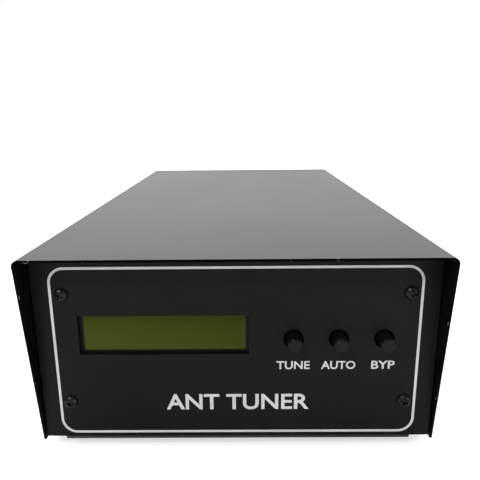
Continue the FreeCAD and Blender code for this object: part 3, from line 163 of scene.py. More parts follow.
world = bpy.data.worlds.new("surround")
bpy.context.scene.world = world
world.use_nodes = True
tree = world.node_tree
tree.nodes.clear()
glow_in_front, glow_behind, glow_seen = 0.42, 1.5, 1.0
direction = split(tree, put(tree, "ShaderNodeTexCoord").outputs["Generated"])
strength = ramp(tree, direction["Y"], -0.5, 0.6, glow_in_front, glow_behind, "SMOOTHSTEP")
strength = mix(tree, put(tree, "ShaderNodeLightPath").outputs["Is Camera Ray"], strength, glow_seen)
glow = put(tree, "ShaderNodeBackground", Color=(1, 1, 1, 1), Strength=strength)
put(tree, "ShaderNodeOutputWorld", Surface=glow.outputs[0])
bpy.context.scene.view_settings.view_transform = "Standard"

# ---------------------------------------------------------------------------
# Cover
# One sheet of 1 mm steel folded into a lid that slides down over the tray. Its outside is
# powder coated black, with the fine orange-peel skin that such paint dries to. Its inside
# and cut edges are painted near black as painted shade, the cut edges also made metallic so
# they barely reflect, and it is chipped to bare steel in a few specks along the edges.
# ---------------------------------------------------------------------------


def new_group(name, inputs, outputs):
    """A shader node group; inputs are (name, value) floats, outputs are (name, kind)."""
    group = bpy.data.node_groups.new(name, "ShaderNodeTree")
    for label, value in inputs:
        socket = group.interface.new_socket(label, in_out="INPUT", socket_type="NodeSocketFloat")
        socket.default_value = value
    for label, kind in outputs:
        group.interface.new_socket(label, in_out="OUTPUT", socket_type=f"NodeSocket{kind}")
    return group, group.nodes.new("NodeGroupInput").outputs, group.nodes.new("NodeGroupOutput").inputs


def object_place(tree):
    return put(tree, "ShaderNodeTexCoord").outputs["Object"]


# Fine and broad unevenness of any surface, each from 0 to 1, by the size of its features.
grain, given, result = new_group("grain", [("Fine Scale", 900.0), ("Broad Scale", 30.0)],
                                 [("Fine", "Float"), ("Mottle", "Float")])
where = object_place(grain)
fine = put(grain, "ShaderNodeTexNoise", Vector=where, Scale=given["Fine Scale"], Detail=3.0, Roughness=0.55)
broad = put(grain, "ShaderNodeTexNoise", Vector=where, Scale=given["Broad Scale"], Detail=4.0, Roughness=0.6)
grain.links.new(fine.outputs["Fac"], result["Fine"])
grain.links.new(ramp(grain, broad.outputs["Fac"], 0.3, 0.7), result["Mottle"])

# Where a sharp edge is, from 0 to 1, broken up so that wear comes in specks, and a normal
# that rounds the edge over a small radius.
edge_wear, given, result = new_group("edge_wear", [("Radius", 0.0004), ("Amount", 0.5), ("Scale", 260.0)],
                                     [("Wear", "Float"), ("Normal", "Vector")])
rounded = put(edge_wear, "ShaderNodeBevel", {"samples": 4}, Radius=given["Radius"]).outputs["Normal"]
flat = put(edge_wear, "ShaderNodeNewGeometry").outputs["Normal"]
lean = put(edge_wear, "ShaderNodeVectorMath", {"operation": "DOT_PRODUCT"}, _0=rounded, _1=flat)
edge_starts, edge_full = 0.985, 0.86            # the cosine between the rounded and the flat normal
edge = ramp(edge_wear, lean.outputs["Value"], edge_starts, edge_full)
where = object_place(edge_wear)
chance = put(edge_wear, "ShaderNodeTexNoise", Vector=where, Scale=given["Scale"], Detail=2.0)
rarest, commoner, chip_border = 0.82, 0.3, 0.03
threshold = calc(edge_wear, "SUBTRACT", rarest, times(edge_wear, given["Amount"], commoner))
chips = ramp(edge_wear, chance.outputs["Fac"], threshold, calc(edge_wear, "ADD", threshold, chip_border))
edge_wear.links.new(times(edge_wear, edge, chips), result["Wear"])
edge_wear.links.new(rounded, result["Normal"])
bare_steel = (0.55, 0.54, 0.52)


def blend(tree, share, first, second):
    """Blend two colours, each of them three numbers or a socket."""
    first, second = ((*tone, 1.0) if isinstance(tone, tuple) else tone for tone in (first, second))
    return put(tree, "ShaderNodeMix", {"data_type": "RGBA"}, _0=share, _6=first, _7=second).outputs[2]


def bumped(tree, height, depth, **under):
    """The normal of a relief that is depth millimetres deep."""
    return put(tree, "ShaderNodeBump", Height=height, Distance=depth * MM, Strength=1.0,
               **under).outputs["Normal"]


def surface(name, colour, second, roughness, spread=0.06, metallic=0.0, specular=0.5, fine=900.0,
            broad=30.0, relief=0.01, edge=0.0, wear=0.0):
    """A finish that drifts between two colours, with its own grain, relief and edge wear.

    relief is the depth of the grain in millimetres, edge the radius of the softened edges.
    """
    material, tree, shader = new_material(name, Metallic=metallic, Specular_IOR_Level=specular)
    texture = put(tree, "ShaderNodeGroup", {"node_tree": grain}, Fine_Scale=fine, Broad_Scale=broad).outputs
    tone, under = blend(tree, texture["Mottle"], colour, second), {}
    if edge:
        worn = put(tree, "ShaderNodeGroup", {"node_tree": edge_wear}, Radius=edge * MM, Amount=wear).outputs
        under["Normal"] = worn["Normal"]
        if wear:
            tone = blend(tree, worn["Wear"], tone, bare_steel)
    feed(tree, shader, Base_Color=tone, Normal=bumped(tree, texture["Fine"], relief, **under),
         Roughness=ramp(tree, texture["Mottle"], low=roughness - spread, high=roughness + spread))
    return material


def opened(material):
    """A material's tree, its shader and the socket that feeds the shader's colour."""
    shader = material.node_tree.nodes["Principled BSDF"]
    return material.node_tree, shader, shader.inputs["Base Color"].links[0].from_socket


def paint(mesh, material):
    """Give a mesh one finish all over."""
    mesh.materials.clear()
    mesh.materials.append(material)
    for polygon in mesh.polygons:
        polygon.material_index = 0


def dress(material, *nodes):
    """Give CAD nodes their finish."""
    for name in nodes:
        paint(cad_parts[name].data, material)


cover_paint = surface("cover_paint", (0.013, 0.0135, 0.013), (0.020, 0.0205, 0.019), 0.42, spread=0.03,
                      specular=0.32, fine=1500.0, broad=9.0, relief=0.012, edge=0.35, wear=0.52)
painted_shade_black, inside_roughness, half_sheet, end_on = (0.0015, 0.0015, 0.0015), 0.22, 0.5 * MM, 0.7
cover_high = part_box("top_cover")[1]
tree, shader, tone = opened(cover_paint)
rough = shader.inputs["Roughness"].links[0].from_socket
place = split(tree, object_place(tree))
facing = split(tree, put(tree, "ShaderNodeNewGeometry").outputs["Normal"])
# Painted shade: the inside faces and the cut edges are blended to near black, and the cut edges are made
# metallic so they barely reflect. This darkens them as shade would. The chips stay on top.
within = times(tree, calc(tree, "LESS_THAN", calc(tree, "ABSOLUTE", place["X"]), cover_high.x - half_sheet),
               calc(tree, "LESS_THAN", place["Z"], cover_high.z - half_sheet))
cut_edge = calc(tree, "GREATER_THAN", calc(tree, "ABSOLUTE", facing["Y"]), end_on)
wear_blend = tone.node
under_wear = wear_blend.inputs[6].links[0].from_socket
feed(tree, wear_blend, _6=blend(tree, calc(tree, "MAXIMUM", within, cut_edge), under_wear, painted_shade_black))
feed(tree, shader, Metallic=cut_edge, Roughness=mix(tree, within, rough, inside_roughness))
dress(cover_paint, "top_cover")

# ---------------------------------------------------------------------------
# Tray, corner brackets and rivets
# The floor of the case is a folded tray of the same sheet, coated black. Four zinc-plated
# angles stand in its corners, held by blind rivets, and take the panels' screws.
# ---------------------------------------------------------------------------
dress(surface("tray_paint", (0.018, 0.018, 0.019), (0.027, 0.027, 0.027), 0.46, fine=1400.0, broad=12.0,
              relief=0.012, edge=0.3, wear=0.3), "chassis")


def brushed(name, colour, second, roughness, along=(1.0, 1.0, 0.04), scale=2600.0, relief=0.002,
            edge=0.15):
    """Bare or plated metal whose fine lines run along the axis given the smallest factor."""
    spread = 0.1
    material, tree, shader = new_material(name, Metallic=1.0)
    stretched = put(tree, "ShaderNodeMapping", Vector=object_place(tree), Scale=along).outputs["Vector"]
    lines = put(tree, "ShaderNodeTexNoise", Vector=stretched, Scale=scale, Detail=2.0).outputs["Fac"]
    texture = put(tree, "ShaderNodeGroup", {"node_tree": grain}, Fine_Scale=900.0, Broad_Scale=60.0)
    worn = put(tree, "ShaderNodeGroup", {"node_tree": edge_wear}, Radius=edge * MM, Amount=0.0)
    feed(tree, shader, Base_Color=blend(tree, texture.outputs["Mottle"], colour, second),
         Roughness=ramp(tree, lines, low=roughness - spread, high=roughness + spread),
         Normal=bumped(tree, lines, relief, Normal=worn.outputs["Normal"]))
    return material


dress(brushed("zinc_sheet", (0.56, 0.55, 0.50), (0.66, 0.64, 0.56), 0.38), "corner_brackets")
dress(brushed("rivet_metal", (0.72, 0.72, 0.73), (0.80, 0.80, 0.80), 0.35), "bracket_rivets")

# ---------------------------------------------------------------------------
# Panels
# Two flat plates of 1.6 mm steel close the ends of the case. They are coated in a flatter
# black than the cover, and the front one is set back under the cover's edge.
# ---------------------------------------------------------------------------
dress(surface("panel_paint", (0.0045, 0.0041, 0.0038), (0.0080, 0.0071, 0.0064), 0.44, spread=0.04,
              specular=0.095, fine=1700.0, broad=14.0, relief=0.010, edge=0.2),
      "front_panel", "rear_panel")

# ---------------------------------------------------------------------------
# Printing on the front panel
# A white rounded border and the words under the buttons are screen printed, a layer of
# ink a few hundredths of a millimetre thick that stands on the paint.
# ---------------------------------------------------------------------------
case_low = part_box("chassis")[0].z
face_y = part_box("front_panel")[0].y
ink_thickness = 0.05 * MM
white_ink = surface("white_ink", (0.52, 0.52, 0.52), (0.61, 0.61, 0.60), 0.55, specular=0.3, fine=2400.0,
                    broad=90.0, relief=0.006)


def close_up(mesh, merge=0.002 * MM):
    """Merge a mesh's doubles and turn all its faces outwards."""
    work = bmesh.new()
    work.from_mesh(mesh)
    bmesh.ops.remove_doubles(work, verts=work.verts, dist=merge)
    bmesh.ops.recalc_face_normals(work, faces=work.faces)
    work.to_mesh(mesh)
    work.free()


def smooth(mesh, angle=35.0):
    mesh.shade_smooth()
    mesh.set_sharp_from_angle(angle=math.radians(angle))


def rounded_rectangle(half_width, low, high, radius, steps=10):
    """Points round a rectangle with round corners, as (x, z)."""
    points = []
    corners = ((half_width - radius, high - radius, 0), (radius - half_width, high - radius, 90),
               (radius - half_width, low + radius, 180), (half_width - radius, low + radius, 270))
    for x, z, start in corners:
        for step in range(steps + 1):
            angle = math.radians(start + 90 * step / steps)
            points.append((x + radius * math.cos(angle), z + radius * math.sin(angle)))
    return points


def printed(name, mesh):
    paint(mesh, white_ink)
    piece = piece_from(name, mesh)
    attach(piece, "case")


border_half, border_low, border_high = 72.1 * MM, case_low + 2.7 * MM, case_low + 74.1 * MM
border_radius, border_line = 6.4 * MM, 1.0 * MM
outer = rounded_rectangle(border_half, border_low, border_high, border_radius)
inner = rounded_rectangle(border_half - border_line, border_low + border_line, border_high - border_line,
                          border_radius - border_line)
count = len(outer)
points = [(x, depth, z) for depth in (face_y - ink_thickness, face_y) for x, z in outer + inner]
faces = []
for step in range(count):
    after = (step + 1) % count
    faces += [(first * count + step, first * count + after, last * count + after, last * count + step)
              for first, last in ((0, 1), (1, 3), (3, 2), (2, 0))]
border_mesh = bpy.data.meshes.new("printed_border")
border_mesh.from_pydata(points, [], faces)
close_up(border_mesh)
printed("printed_border", border_mesh)


def baked(piece):
    """The plain mesh that an object's curves or modifiers come to."""
    graph = bpy.context.evaluated_depsgraph_get()
    return bpy.data.meshes.new_from_object(piece.evaluated_get(graph), depsgraph=graph)


label_base, label_cap, letter_weight = case_low + 31.1 * MM, 3.5 * MM, 0.018


def word(name, text, left, right, base=label_base, cap=label_cap):
    """A printed word between two x limits, with its base line and the height of a capital."""
    script = bpy.data.curves.new(name, "FONT")
    script.body = text
    script.offset, script.extrude, script.resolution_u = letter_weight, 0.1, 4
    lettering = piece_from(name, script)
    mesh = baked(lettering)
    bpy.data.objects.remove(lettering)
    low, high = ([pick(v.co[axis] for v in mesh.vertices) for axis in range(3)] for pick in (min, max))
    for vertex in mesh.vertices:
        share = [(vertex.co[axis] - low[axis]) / (high[axis] - low[axis]) for axis in range(3)]
        vertex.co = (left + share[0] * (right - left), face_y - share[2] * ink_thickness,
                     base + share[1] * cap)
    close_up(mesh)
    printed(name, mesh)


word("word_tune", "TUNE", 15.9 * MM, 29.1 * MM)
word("word_auto", "AUTO", 33.65 * MM, 47.2 * MM)
word("word_byp", "BYP", 53.5 * MM, 62.75 * MM)
word("word_title", "ANT TUNER", -28.6 * MM, 29.1 * MM, case_low + 13.2 * MM, 7.0 * MM)

# ---------------------------------------------------------------------------
# Screws
# Pan-head machine screws with a cross recess. Black ones hold the panels and the cover,
# zinc-plated ones the feet, sockets and boards; each stopped at its own angle.
# ---------------------------------------------------------------------------


def new_growth(name, **inputs):
    """A geometry tree and its inputs, each given as its name (_ for a space) and kind."""
    tree = bpy.data.node_groups.new(name, "GeometryNodeTree")
    for label, kind in inputs.items():
        tree.interface.new_socket(label.replace("_", " "), in_out="INPUT", socket_type=f"NodeSocket{kind}")
    tree.interface.new_socket("Geometry", in_out="OUTPUT", socket_type="NodeSocketGeometry")
    return tree, put(tree, "NodeGroupInput").outputs


def finish_growth(tree, asked, grown_shape):
    """Put what a tree grew in its place, realize it and give it its finish."""
    placed = put(tree, "GeometryNodeTransform", Geometry=grown_shape, Translation=asked["Place"],
                 Rotation=asked["Turn"])
    real = put(tree, "GeometryNodeRealizeInstances", Geometry=placed.outputs[0])
    coloured = put(tree, "GeometryNodeSetMaterial", Geometry=real.outputs[0], Material=asked["Finish"])
    tree.links.new(coloured.outputs[0], put(tree, "NodeGroupOutput").inputs[0])


def from_xyz(tree, **parts):
    return put(tree, "ShaderNodeCombineXYZ", **parts).outputs[0]


def distance(tree, first, second):
    """The length of a flat vector with these two parts."""
    return calc(tree, "SQRT", calc(tree, "ADD", times(tree, first, first), times(tree, second, second)))


screw_tree, asked = new_growth(
    "screw_set", Head_Radius="Float", Head_Height="Float", Shank_Radius="Float", Shank_Length="Float",
    Slot_Length="Float", Slot_Width="Float", Slot_Depth="Float", Across="Int", Along="Int",
    Step_Across="Float", Step_Along="Float", Turn="Vector", Place="Vector", Seed="Int", Finish="Material")
tree = screw_tree
# The head: a disc whose top falls towards its rim and whose side draws in towards its top.
rim_drop, top_draw, bend = 0.38, 0.17, 3.0
blank = put(tree, "GeometryNodeMeshCylinder", Vertices=28, Side_Segments=5, Fill_Segments=4,
            Radius=asked["Head Radius"], Depth=asked["Head Height"]).outputs["Mesh"]
spot = split(tree, put(tree, "GeometryNodeInputPosition").outputs[0])
rise = calc(tree, "ADD", calc(tree, "DIVIDE", spot["Z"], asked["Head Height"]), 0.5)
off_axis = calc(tree, "DIVIDE", distance(tree, spot["X"], spot["Y"]), asked["Head Radius"])
dome = calc(tree, "SUBTRACT", 1.0, times(tree, calc(tree, "POWER", off_axis, bend), rim_drop))
draw = calc(tree, "SUBTRACT", 1.0, times(tree, calc(tree, "POWER", rise, bend), top_draw))
domed = from_xyz(tree, X=times(tree, spot["X"], draw), Y=times(tree, spot["Y"], draw),
                 Z=times(tree, times(tree, rise, dome), asked["Head Height"]))
head = put(tree, "GeometryNodeSetPosition", Geometry=blank, Position=domed).outputs[0]
# The cross recess: two bars cut out of the head.
carved = put(tree, "GeometryNodeMeshBoolean", {"operation": "DIFFERENCE", "solver": "EXACT"}, _0=head)
lift, deep = from_xyz(tree, Z=asked["Head Height"]), times(tree, asked["Slot Depth"], 2.0)
for x, y in (("Slot Length", "Slot Width"), ("Slot Width", "Slot Length")):
    size = from_xyz(tree, X=asked[x], Y=asked[y], Z=deep)
    bar = put(tree, "GeometryNodeMeshCube", Size=size).outputs["Mesh"]
    bar = put(tree, "GeometryNodeTransform", Geometry=bar, Translation=lift).outputs[0]
    tree.links.new(bar, carved.inputs[1])
shank = put(tree, "GeometryNodeMeshCylinder", Vertices=20, Radius=asked["Shank Radius"],
            Depth=asked["Shank Length"]).outputs["Mesh"]
drop = from_xyz(tree, Z=times(tree, asked["Shank Length"], -0.5))
shank = put(tree, "GeometryNodeTransform", Geometry=shank, Translation=drop).outputs[0]
whole = put(tree, "GeometryNodeJoinGeometry")
for part in (carved.outputs[0], shank):
    tree.links.new(part, whole.inputs[0])
# The set: a grid of screws, each stopped at its own angle within a quarter turn.
width, length = (times(tree, asked[f"Step {way}"], calc(tree, "SUBTRACT", asked[way], 1.0))
                 for way in ("Across", "Along"))
spots = put(tree, "GeometryNodeMeshGrid", Size_X=width, Size_Y=length, Vertices_X=asked["Across"],
            Vertices_Y=asked["Along"]).outputs["Mesh"]
stop = put(tree, "FunctionNodeRandomValue", {"data_type": "FLOAT"}, Seed=asked["Seed"], _3=math.pi / 2)
placed = put(tree, "GeometryNodeInstanceOnPoints", Points=spots, Instance=whole.outputs[0],
             Rotation=from_xyz(tree, Z=stop.outputs[1])).outputs[0]
finish_growth(tree, asked, placed)


def grown(name, tree, **values):
    """Run a geometry tree once and keep the result as a plain mesh. Names use _ for a space."""
    piece = piece_from(name, bpy.data.meshes.new(name))
    modifier = piece.modifiers.new("growth", "NODES")
    modifier.node_group = tree
    for item in tree.interface.items_tree:
        asked_for = item.name.replace(" ", "_")
        if asked_for in values:
            modifier[item.identifier] = values[asked_for]
    mesh = baked(piece)
    piece.modifiers.remove(modifier)
    piece.data = mesh
    close_up(mesh)
    smooth(mesh)
    return piece


def middle(name):
    low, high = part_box(name)
    return (low + high) / 2


head_radius, head_height = 2.85 * MM, 1.9 * MM
M3 = {"Head_Radius": head_radius, "Head_Height": head_height, "Shank_Radius": 1.5 * MM,
      "Slot_Length": 2.8 * MM, "Slot_Width": 0.9 * MM, "Slot_Depth": 1.2 * MM}
TURNS = {"-Y": (math.pi / 2, 0, 0), "+Y": (-math.pi / 2, 0, 0), "+X": (0, math.pi / 2, 0),
         "-X": (0, -math.pi / 2, 0), "-Z": (math.pi, 0, 0), "+Z": (0, 0, 0)}
X, Y, Z = range(3)
black_screw = surface("black_screw", (0.0035, 0.0035, 0.0038), (0.007, 0.007, 0.0075), 0.30, specular=0.22,
                      fine=2500.0, broad=300.0, relief=0.006, edge=0.1, wear=0.25)
zinc_screw = brushed("zinc_screw", (0.42, 0.42, 0.40), (0.52, 0.51, 0.47), 0.30, scale=3500.0)


def row(node, axis, count):
    """How many screws stand in a row along an axis of their CAD node's box, and how far apart."""
    low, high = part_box(node)
    return count, (high[axis] - low[axis] - 2 * head_radius) / (count - 1)


def screw_set(name, node, towards, finish, seed, across=(1, 0.0), along=(1, 0.0), grip=None,
              x=None):
    """A set of like screws in place of a CAD node; towards is where their heads point.

    The shank's length and the set's middle come from the node's box, unless grip or x gives them.
    """
    low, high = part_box(node)
    axis = "XYZ".index(towards[1])
    seat = middle(node)
    seat[axis] = high[axis] - head_height if towards[0] == "+" else low[axis] + head_height
    if x is not None:
        seat.x = x
    piece = grown(name, screw_tree, **M3, Shank_Length=grip or high[axis] - low[axis] - head_height,
                  Across=across[0], Along=along[0], Step_Across=across[1], Step_Along=along[1],
                  Turn=TURNS[towards], Place=tuple(seat), Seed=seed, Finish=finish)
    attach(piece, "case")
    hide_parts(node)


for name, node, towards, seed in (("panel_screws_front", "front_panel_screws", "-Y", 3),
                                  ("panel_screws_rear", "rear_panel_screws", "+Y", 5)):
    screw_set(name, node, towards, black_screw, seed, row(node, X, 2), row(node, Z, 2))
flange_grip = 5.3 * MM
for name, towards, seed in (("cover_screws_left", "-X", 7), ("cover_screws_right", "+X", 8)):
    screw_set(name, "cover_screws", towards, black_screw, seed,
              along=row("cover_screws", Y, 3), grip=flange_grip)
for name, node, towards, seed, count in (("foot_screws_zinc", "foot_screws", "-Z", 11, 2),
                                         ("board_screws_zinc", "board_screws", "+Z", 13, 3)):
    screw_set(name, node, towards, zinc_screw, seed, row(node, X, 2), row(node, Y, count))
holes = row("socket_screws", Z, 2)
for name, node in (("output", "output_socket"), ("input", "input_socket")):
    screw_set(f"socket_screws_{name}", "socket_screws", "+Y", zinc_screw, 17, holes, holes,
              x=middle(node).x)
dress(zinc_screw, "display_screws", "front_board_screws", "socket_nuts", "ground_washers")

# ---------------------------------------------------------------------------
# Feet
# Four moulded rubber feet, tapered, with a soft lower edge and a recess underneath for the
# head of the screw that holds each one to the floor of the case.
# ---------------------------------------------------------------------------


def turned(name, profile, place, towards="+Z", steps=48, closed=False):
    """A solid of revolution round "+Z" or "+Y". Profile points are (along, radius)."""
    across, rearward, upward = (Vector(way) for way in ((1, 0, 0), (0, 1, 0), (0, 0, 1)))
    along, third = (upward, rearward) if towards == "+Z" else (rearward, upward)
    points, faces = [], []
    for step in range(steps):
        angle = 2 * math.pi * step / steps
        out = across * math.cos(angle) + third * math.sin(angle)
        points += [Vector(place) + along * a + out * r for a, r in profile]
    size = len(profile)
    for step in range(steps):
        here, there = step * size, (step + 1) % steps * size
        for index in range(size if closed else size - 1):
            after = (index + 1) % size
            faces.append((here + index, there + index, there + after, here + after))
    mesh = bpy.data.meshes.new(name)
    mesh.from_pydata(points, [], faces)
    close_up(mesh)
    smooth(mesh)
    return mesh


def arc(along, radius, size, start, stop, steps=5):
    """Profile points round a fillet whose centre is at (along, radius)."""
    return [(along + size * math.sin(math.radians(start + (stop - start) * step / steps)),
             radius + size * math.cos(math.radians(start + (stop - start) * step / steps)))
            for step in range(steps + 1)]


def together(name, meshes, material):
    """Several meshes joined into one piece with one finish."""
    work = bmesh.new()
    for mesh in meshes:
        work.from_mesh(mesh)
    whole = bpy.data.meshes.new(name)
    work.to_mesh(whole)
    work.free()
    paint(whole, material)
    smooth(whole)
    return piece_from(name, whole)


def stands_for(piece, body, slot, *nodes):
    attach(piece, body)
    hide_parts(*nodes)


foot_rubber = surface("foot_rubber", (0.012, 0.012, 0.012), (0.022, 0.021, 0.020), 0.72, specular=0.3,
                      fine=1200.0, broad=120.0, relief=0.03)
low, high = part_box("rubber_feet")
foot_top, foot_base, foot_hole, foot_well = 7.0 * MM, 6.0 * MM, 1.7 * MM, 4.0 * MM
foot_high, well_deep, foot_edge, foot_rim = high.z - low.z, 3.0 * MM, 0.8 * MM, 0.3 * MM
foot_profile = ([(0, foot_well)] + arc(foot_edge, foot_base - foot_edge, foot_edge, -90, -10)
                + arc(foot_high - foot_rim, foot_top - foot_rim, foot_rim, 10, 90)
                + [(foot_high, foot_hole), (well_deep, foot_hole), (well_deep, foot_well)])
feet = [turned("foot", foot_profile, (x, y, low.z), steps=40, closed=True)
        for x in (low.x + foot_top, high.x - foot_top) for y in (low.y + foot_top, high.y - foot_top)]
stands_for(together("feet_rubber", feet, foot_rubber), "case", "foot_rubber", "rubber_feet")

# ---------------------------------------------------------------------------
# Display
# A character display behind the window, switched off: a black sheet-metal bezel, the
# olive glass with a painted paler margin standing for light that leaks in and painted shade
# that darkens it towards the top and right, and the lamp block and board behind.
# ---------------------------------------------------------------------------
dress(surface("bezel_paint", (0.003, 0.003, 0.003), (0.006, 0.006, 0.0055), 0.45, specular=0.12,
              fine=2000.0, broad=60.0, relief=0.004, edge=0.15), "display_bezel")
view_half_width, view_half_height = 32.25 * MM, 7.3 * MM
margin_starts, margin_full = 2.2 * MM, 0.9 * MM
shaded_olive, lit_olive, pale_olive, mid_olive = ((0.023, 0.031, 0.0012), (0.055, 0.067, 0.0085),
                                                 (0.070, 0.078, 0.018), (0.036, 0.048, 0.006))
olive_glass, tree, shader = new_material("olive_glass", Specular_IOR_Level=0.04)
glass_middle = middle("display_glass")
centred = put(tree, "ShaderNodeMapping", Vector=object_place(tree),
              Location=(-glass_middle.x, 0.0, -glass_middle.z)).outputs["Vector"]
place = split(tree, centred)
# Painted light: the glass turns a little paler within a few millimetres of the window's edges.
edge_gap = calc(tree, "MINIMUM", calc(tree, "SUBTRACT", view_half_width, calc(tree, "ABSOLUTE", place["X"])),
                calc(tree, "SUBTRACT", view_half_height, calc(tree, "ABSOLUTE", place["Z"])))
margin = ramp(tree, edge_gap, margin_starts, margin_full, kind="SMOOTHSTEP")
# Painted light and shade: the glass is paler towards the lower left and darker towards the top and right.
leftward = ramp(tree, place["X"], view_half_width, -view_half_width)
downward = ramp(tree, place["Z"], view_half_height, -view_half_height)
painted_light_share = calc(tree, "ADD", times(tree, leftward, 0.4), times(tree, downward, 0.6))
texture = put(tree, "ShaderNodeGroup", {"node_tree": grain}, Fine_Scale=3000.0, Broad_Scale=45.0).outputs
olive = blend(tree, painted_light_share, shaded_olive, lit_olive)
olive = blend(tree, times(tree, margin, 0.3), olive, pale_olive)
olive = blend(tree, times(tree, texture["Mottle"], 0.25), olive, mid_olive)
feed(tree, shader, Base_Color=olive, Roughness=ramp(tree, texture["Mottle"], low=0.26, high=0.36),
     Normal=bumped(tree, texture["Fine"], 0.0015))
dress(olive_glass, "display_glass")
dress(surface("lamp_plastic", (0.70, 0.72, 0.60), (0.78, 0.79, 0.68), 0.5), "display_backlight")

# ---------------------------------------------------------------------------
# Push buttons
# Three round black caps, moulded in smooth plastic with a soft rim and a slightly hollow
# face, each pushed on the square plunger of its switch. Cap and plunger move together.
# ---------------------------------------------------------------------------
button_plastic = surface("button_plastic", (0.0035, 0.0035, 0.0038), (0.0060, 0.0060, 0.0060), 0.14,
                         specular=0.13, fine=2600.0, broad=220.0, relief=0.008)
cap_radius, cap_rim, cap_hollow, cap_length = 2.9 * MM, 0.8 * MM, 0.12 * MM, 11.5 * MM
cap_chamfer, plunger_half, plunger_bevel, plunger_in_cap = 0.3 * MM, 1.5 * MM, 0.2 * MM, 0.5 * MM
for name, node, body in (("cap_tune", "tune_button", "tune"), ("cap_auto", "auto_button", "auto"),
                         ("cap_bypass", "bypass_button", "bypass")):
    low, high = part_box(node)
    axis = middle(node)
    cap_profile = ([(cap_hollow, 0.0), (cap_hollow * 0.75, (cap_radius - cap_rim) * 0.5),
                    (0.0, cap_radius - cap_rim)]
                   + arc(cap_rim, cap_radius - cap_rim, cap_rim, -90, 0, steps=7)[1:]
                   + [(cap_length - cap_chamfer, cap_radius), (cap_length, cap_radius - cap_chamfer),
                      (cap_length, 0.0)])
    cap = turned("cap", cap_profile, (axis.x, low.y, axis.z), "+Y")
    work = bmesh.new()
    stem_front, stem_back = low.y + cap_length - plunger_in_cap, high.y
    bmesh.ops.create_cube(work, size=1.0, matrix=Matrix.Translation(
        (axis.x, (stem_front + stem_back) / 2, axis.z)) @ Matrix.Diagonal(
        (2 * plunger_half, stem_back - stem_front, 2 * plunger_half, 1.0)))
    bmesh.ops.bevel(work, geom=work.edges[:], offset=plunger_bevel, segments=2, affect="EDGES")
    stem = bpy.data.meshes.new("stem")
    work.to_mesh(stem)
    work.free()
    stands_for(together(name, [cap, stem], button_plastic), body, "button_plastic", node)
dress(surface("switch_plastic", (0.02, 0.02, 0.02), (0.035, 0.034, 0.033), 0.55, edge=0.2),
      "button_switches")

# ---------------------------------------------------------------------------
# Circuit boards
# Fibre-glass boards with green solder mask: copper tracks show as slightly raised, paler
# lines under it. They stand on hexagonal brass spacers.
# ---------------------------------------------------------------------------
laminate = surface("laminate", (0.010, 0.085, 0.035), (0.014, 0.11, 0.045), 0.34, fine=1500.0, broad=80.0,
                   relief=0.004)
tree, shader, tone = opened(laminate)
tracks = put(tree, "ShaderNodeTexBrick", {"offset": 0.5}, Vector=object_place(tree), Scale=95.0,
             Mortar_Size=0.055, Mortar_Smooth=0.1, Color1=(0, 0, 0, 1), Color2=(0, 0, 0, 1),
             Mortar=(1, 1, 1, 1))
feed(tree, shader, Base_Color=blend(tree, tracks.outputs["Color"], tone, (0.035, 0.19, 0.07)))
dress(laminate, "main_board", "front_board", "display_board")
dress(brushed("spacer_brass", (0.70, 0.52, 0.22), (0.80, 0.62, 0.30), 0.30),
      "board_standoffs", "front_board_standoffs", "display_spacers")

# ---------------------------------------------------------------------------
# Relays and capacitors
# Sealed relays in blue moulded cases and dipped brown capacitors stand in rows, soldered
# to the main board; the relays switch coils and capacitors in and out.
# ---------------------------------------------------------------------------
dress(surface("relay_case", (0.012, 0.06, 0.26), (0.016, 0.075, 0.31), 0.30, fine=1800.0, broad=70.0,
              relief=0.006, edge=0.35), "inductor_relays", "capacitor_relays")
dress(surface("dipped_coat", (0.30, 0.13, 0.03), (0.40, 0.18, 0.05), 0.24, fine=500.0, broad=150.0,
              relief=0.05, edge=0.8), "tuning_capacitors")

# ---------------------------------------------------------------------------
# Coils and coupler
# Ring cores of red iron powder wound with enamelled copper, three air coils, and the two
# small rings with thick rods through them that measure the power on the line.
# ---------------------------------------------------------------------------
dress(surface("core_powder", (0.32, 0.045, 0.03), (0.42, 0.07, 0.05), 0.5, fine=700.0, broad=200.0,
              relief=0.02, edge=0.4), "inductor_cores", "coupler_cores")


def wound(name, places, pitch, second_axis="Y"):
    """Enamelled wire laid side by side round coils whose middles are places.

    The coils lie across X and the second axis; pitch is the wire's spacing in turns.
    """
    material = surface(name, (0.48, 0.17, 0.05), (0.60, 0.24, 0.08), 0.30, metallic=0.85, broad=120.0)
    tree, shader, tone = opened(material)
    nearest = None
    for place in places:
        offset = put(tree, "ShaderNodeVectorMath", {"operation": "SUBTRACT"}, _0=object_place(tree),
                     _1=tuple(place)).outputs[0]
        parts = split(tree, offset)
        reach = distance(tree, parts["X"], parts[second_axis])
        angle = calc(tree, "ARCTAN2", parts[second_axis], parts["X"])
        if nearest is None:
            nearest, turn = reach, angle
            continue
        turn = mix(tree, calc(tree, "LESS_THAN", reach, nearest), turn, angle)
        nearest = calc(tree, "MINIMUM", reach, nearest)
    # Painted shade: the grooves between neighbouring wires are coloured a darker copper, besides their
    # relief.
    wave = calc(tree, "ABSOLUTE", calc(tree, "SINE", times(tree, turn, pitch)))
    groove_shade = (0.10, 0.03, 0.01)
    feed(tree, shader, Base_Color=blend(tree, wave, groove_shade, tone), Normal=bumped(tree, wave, 0.5))
    return material


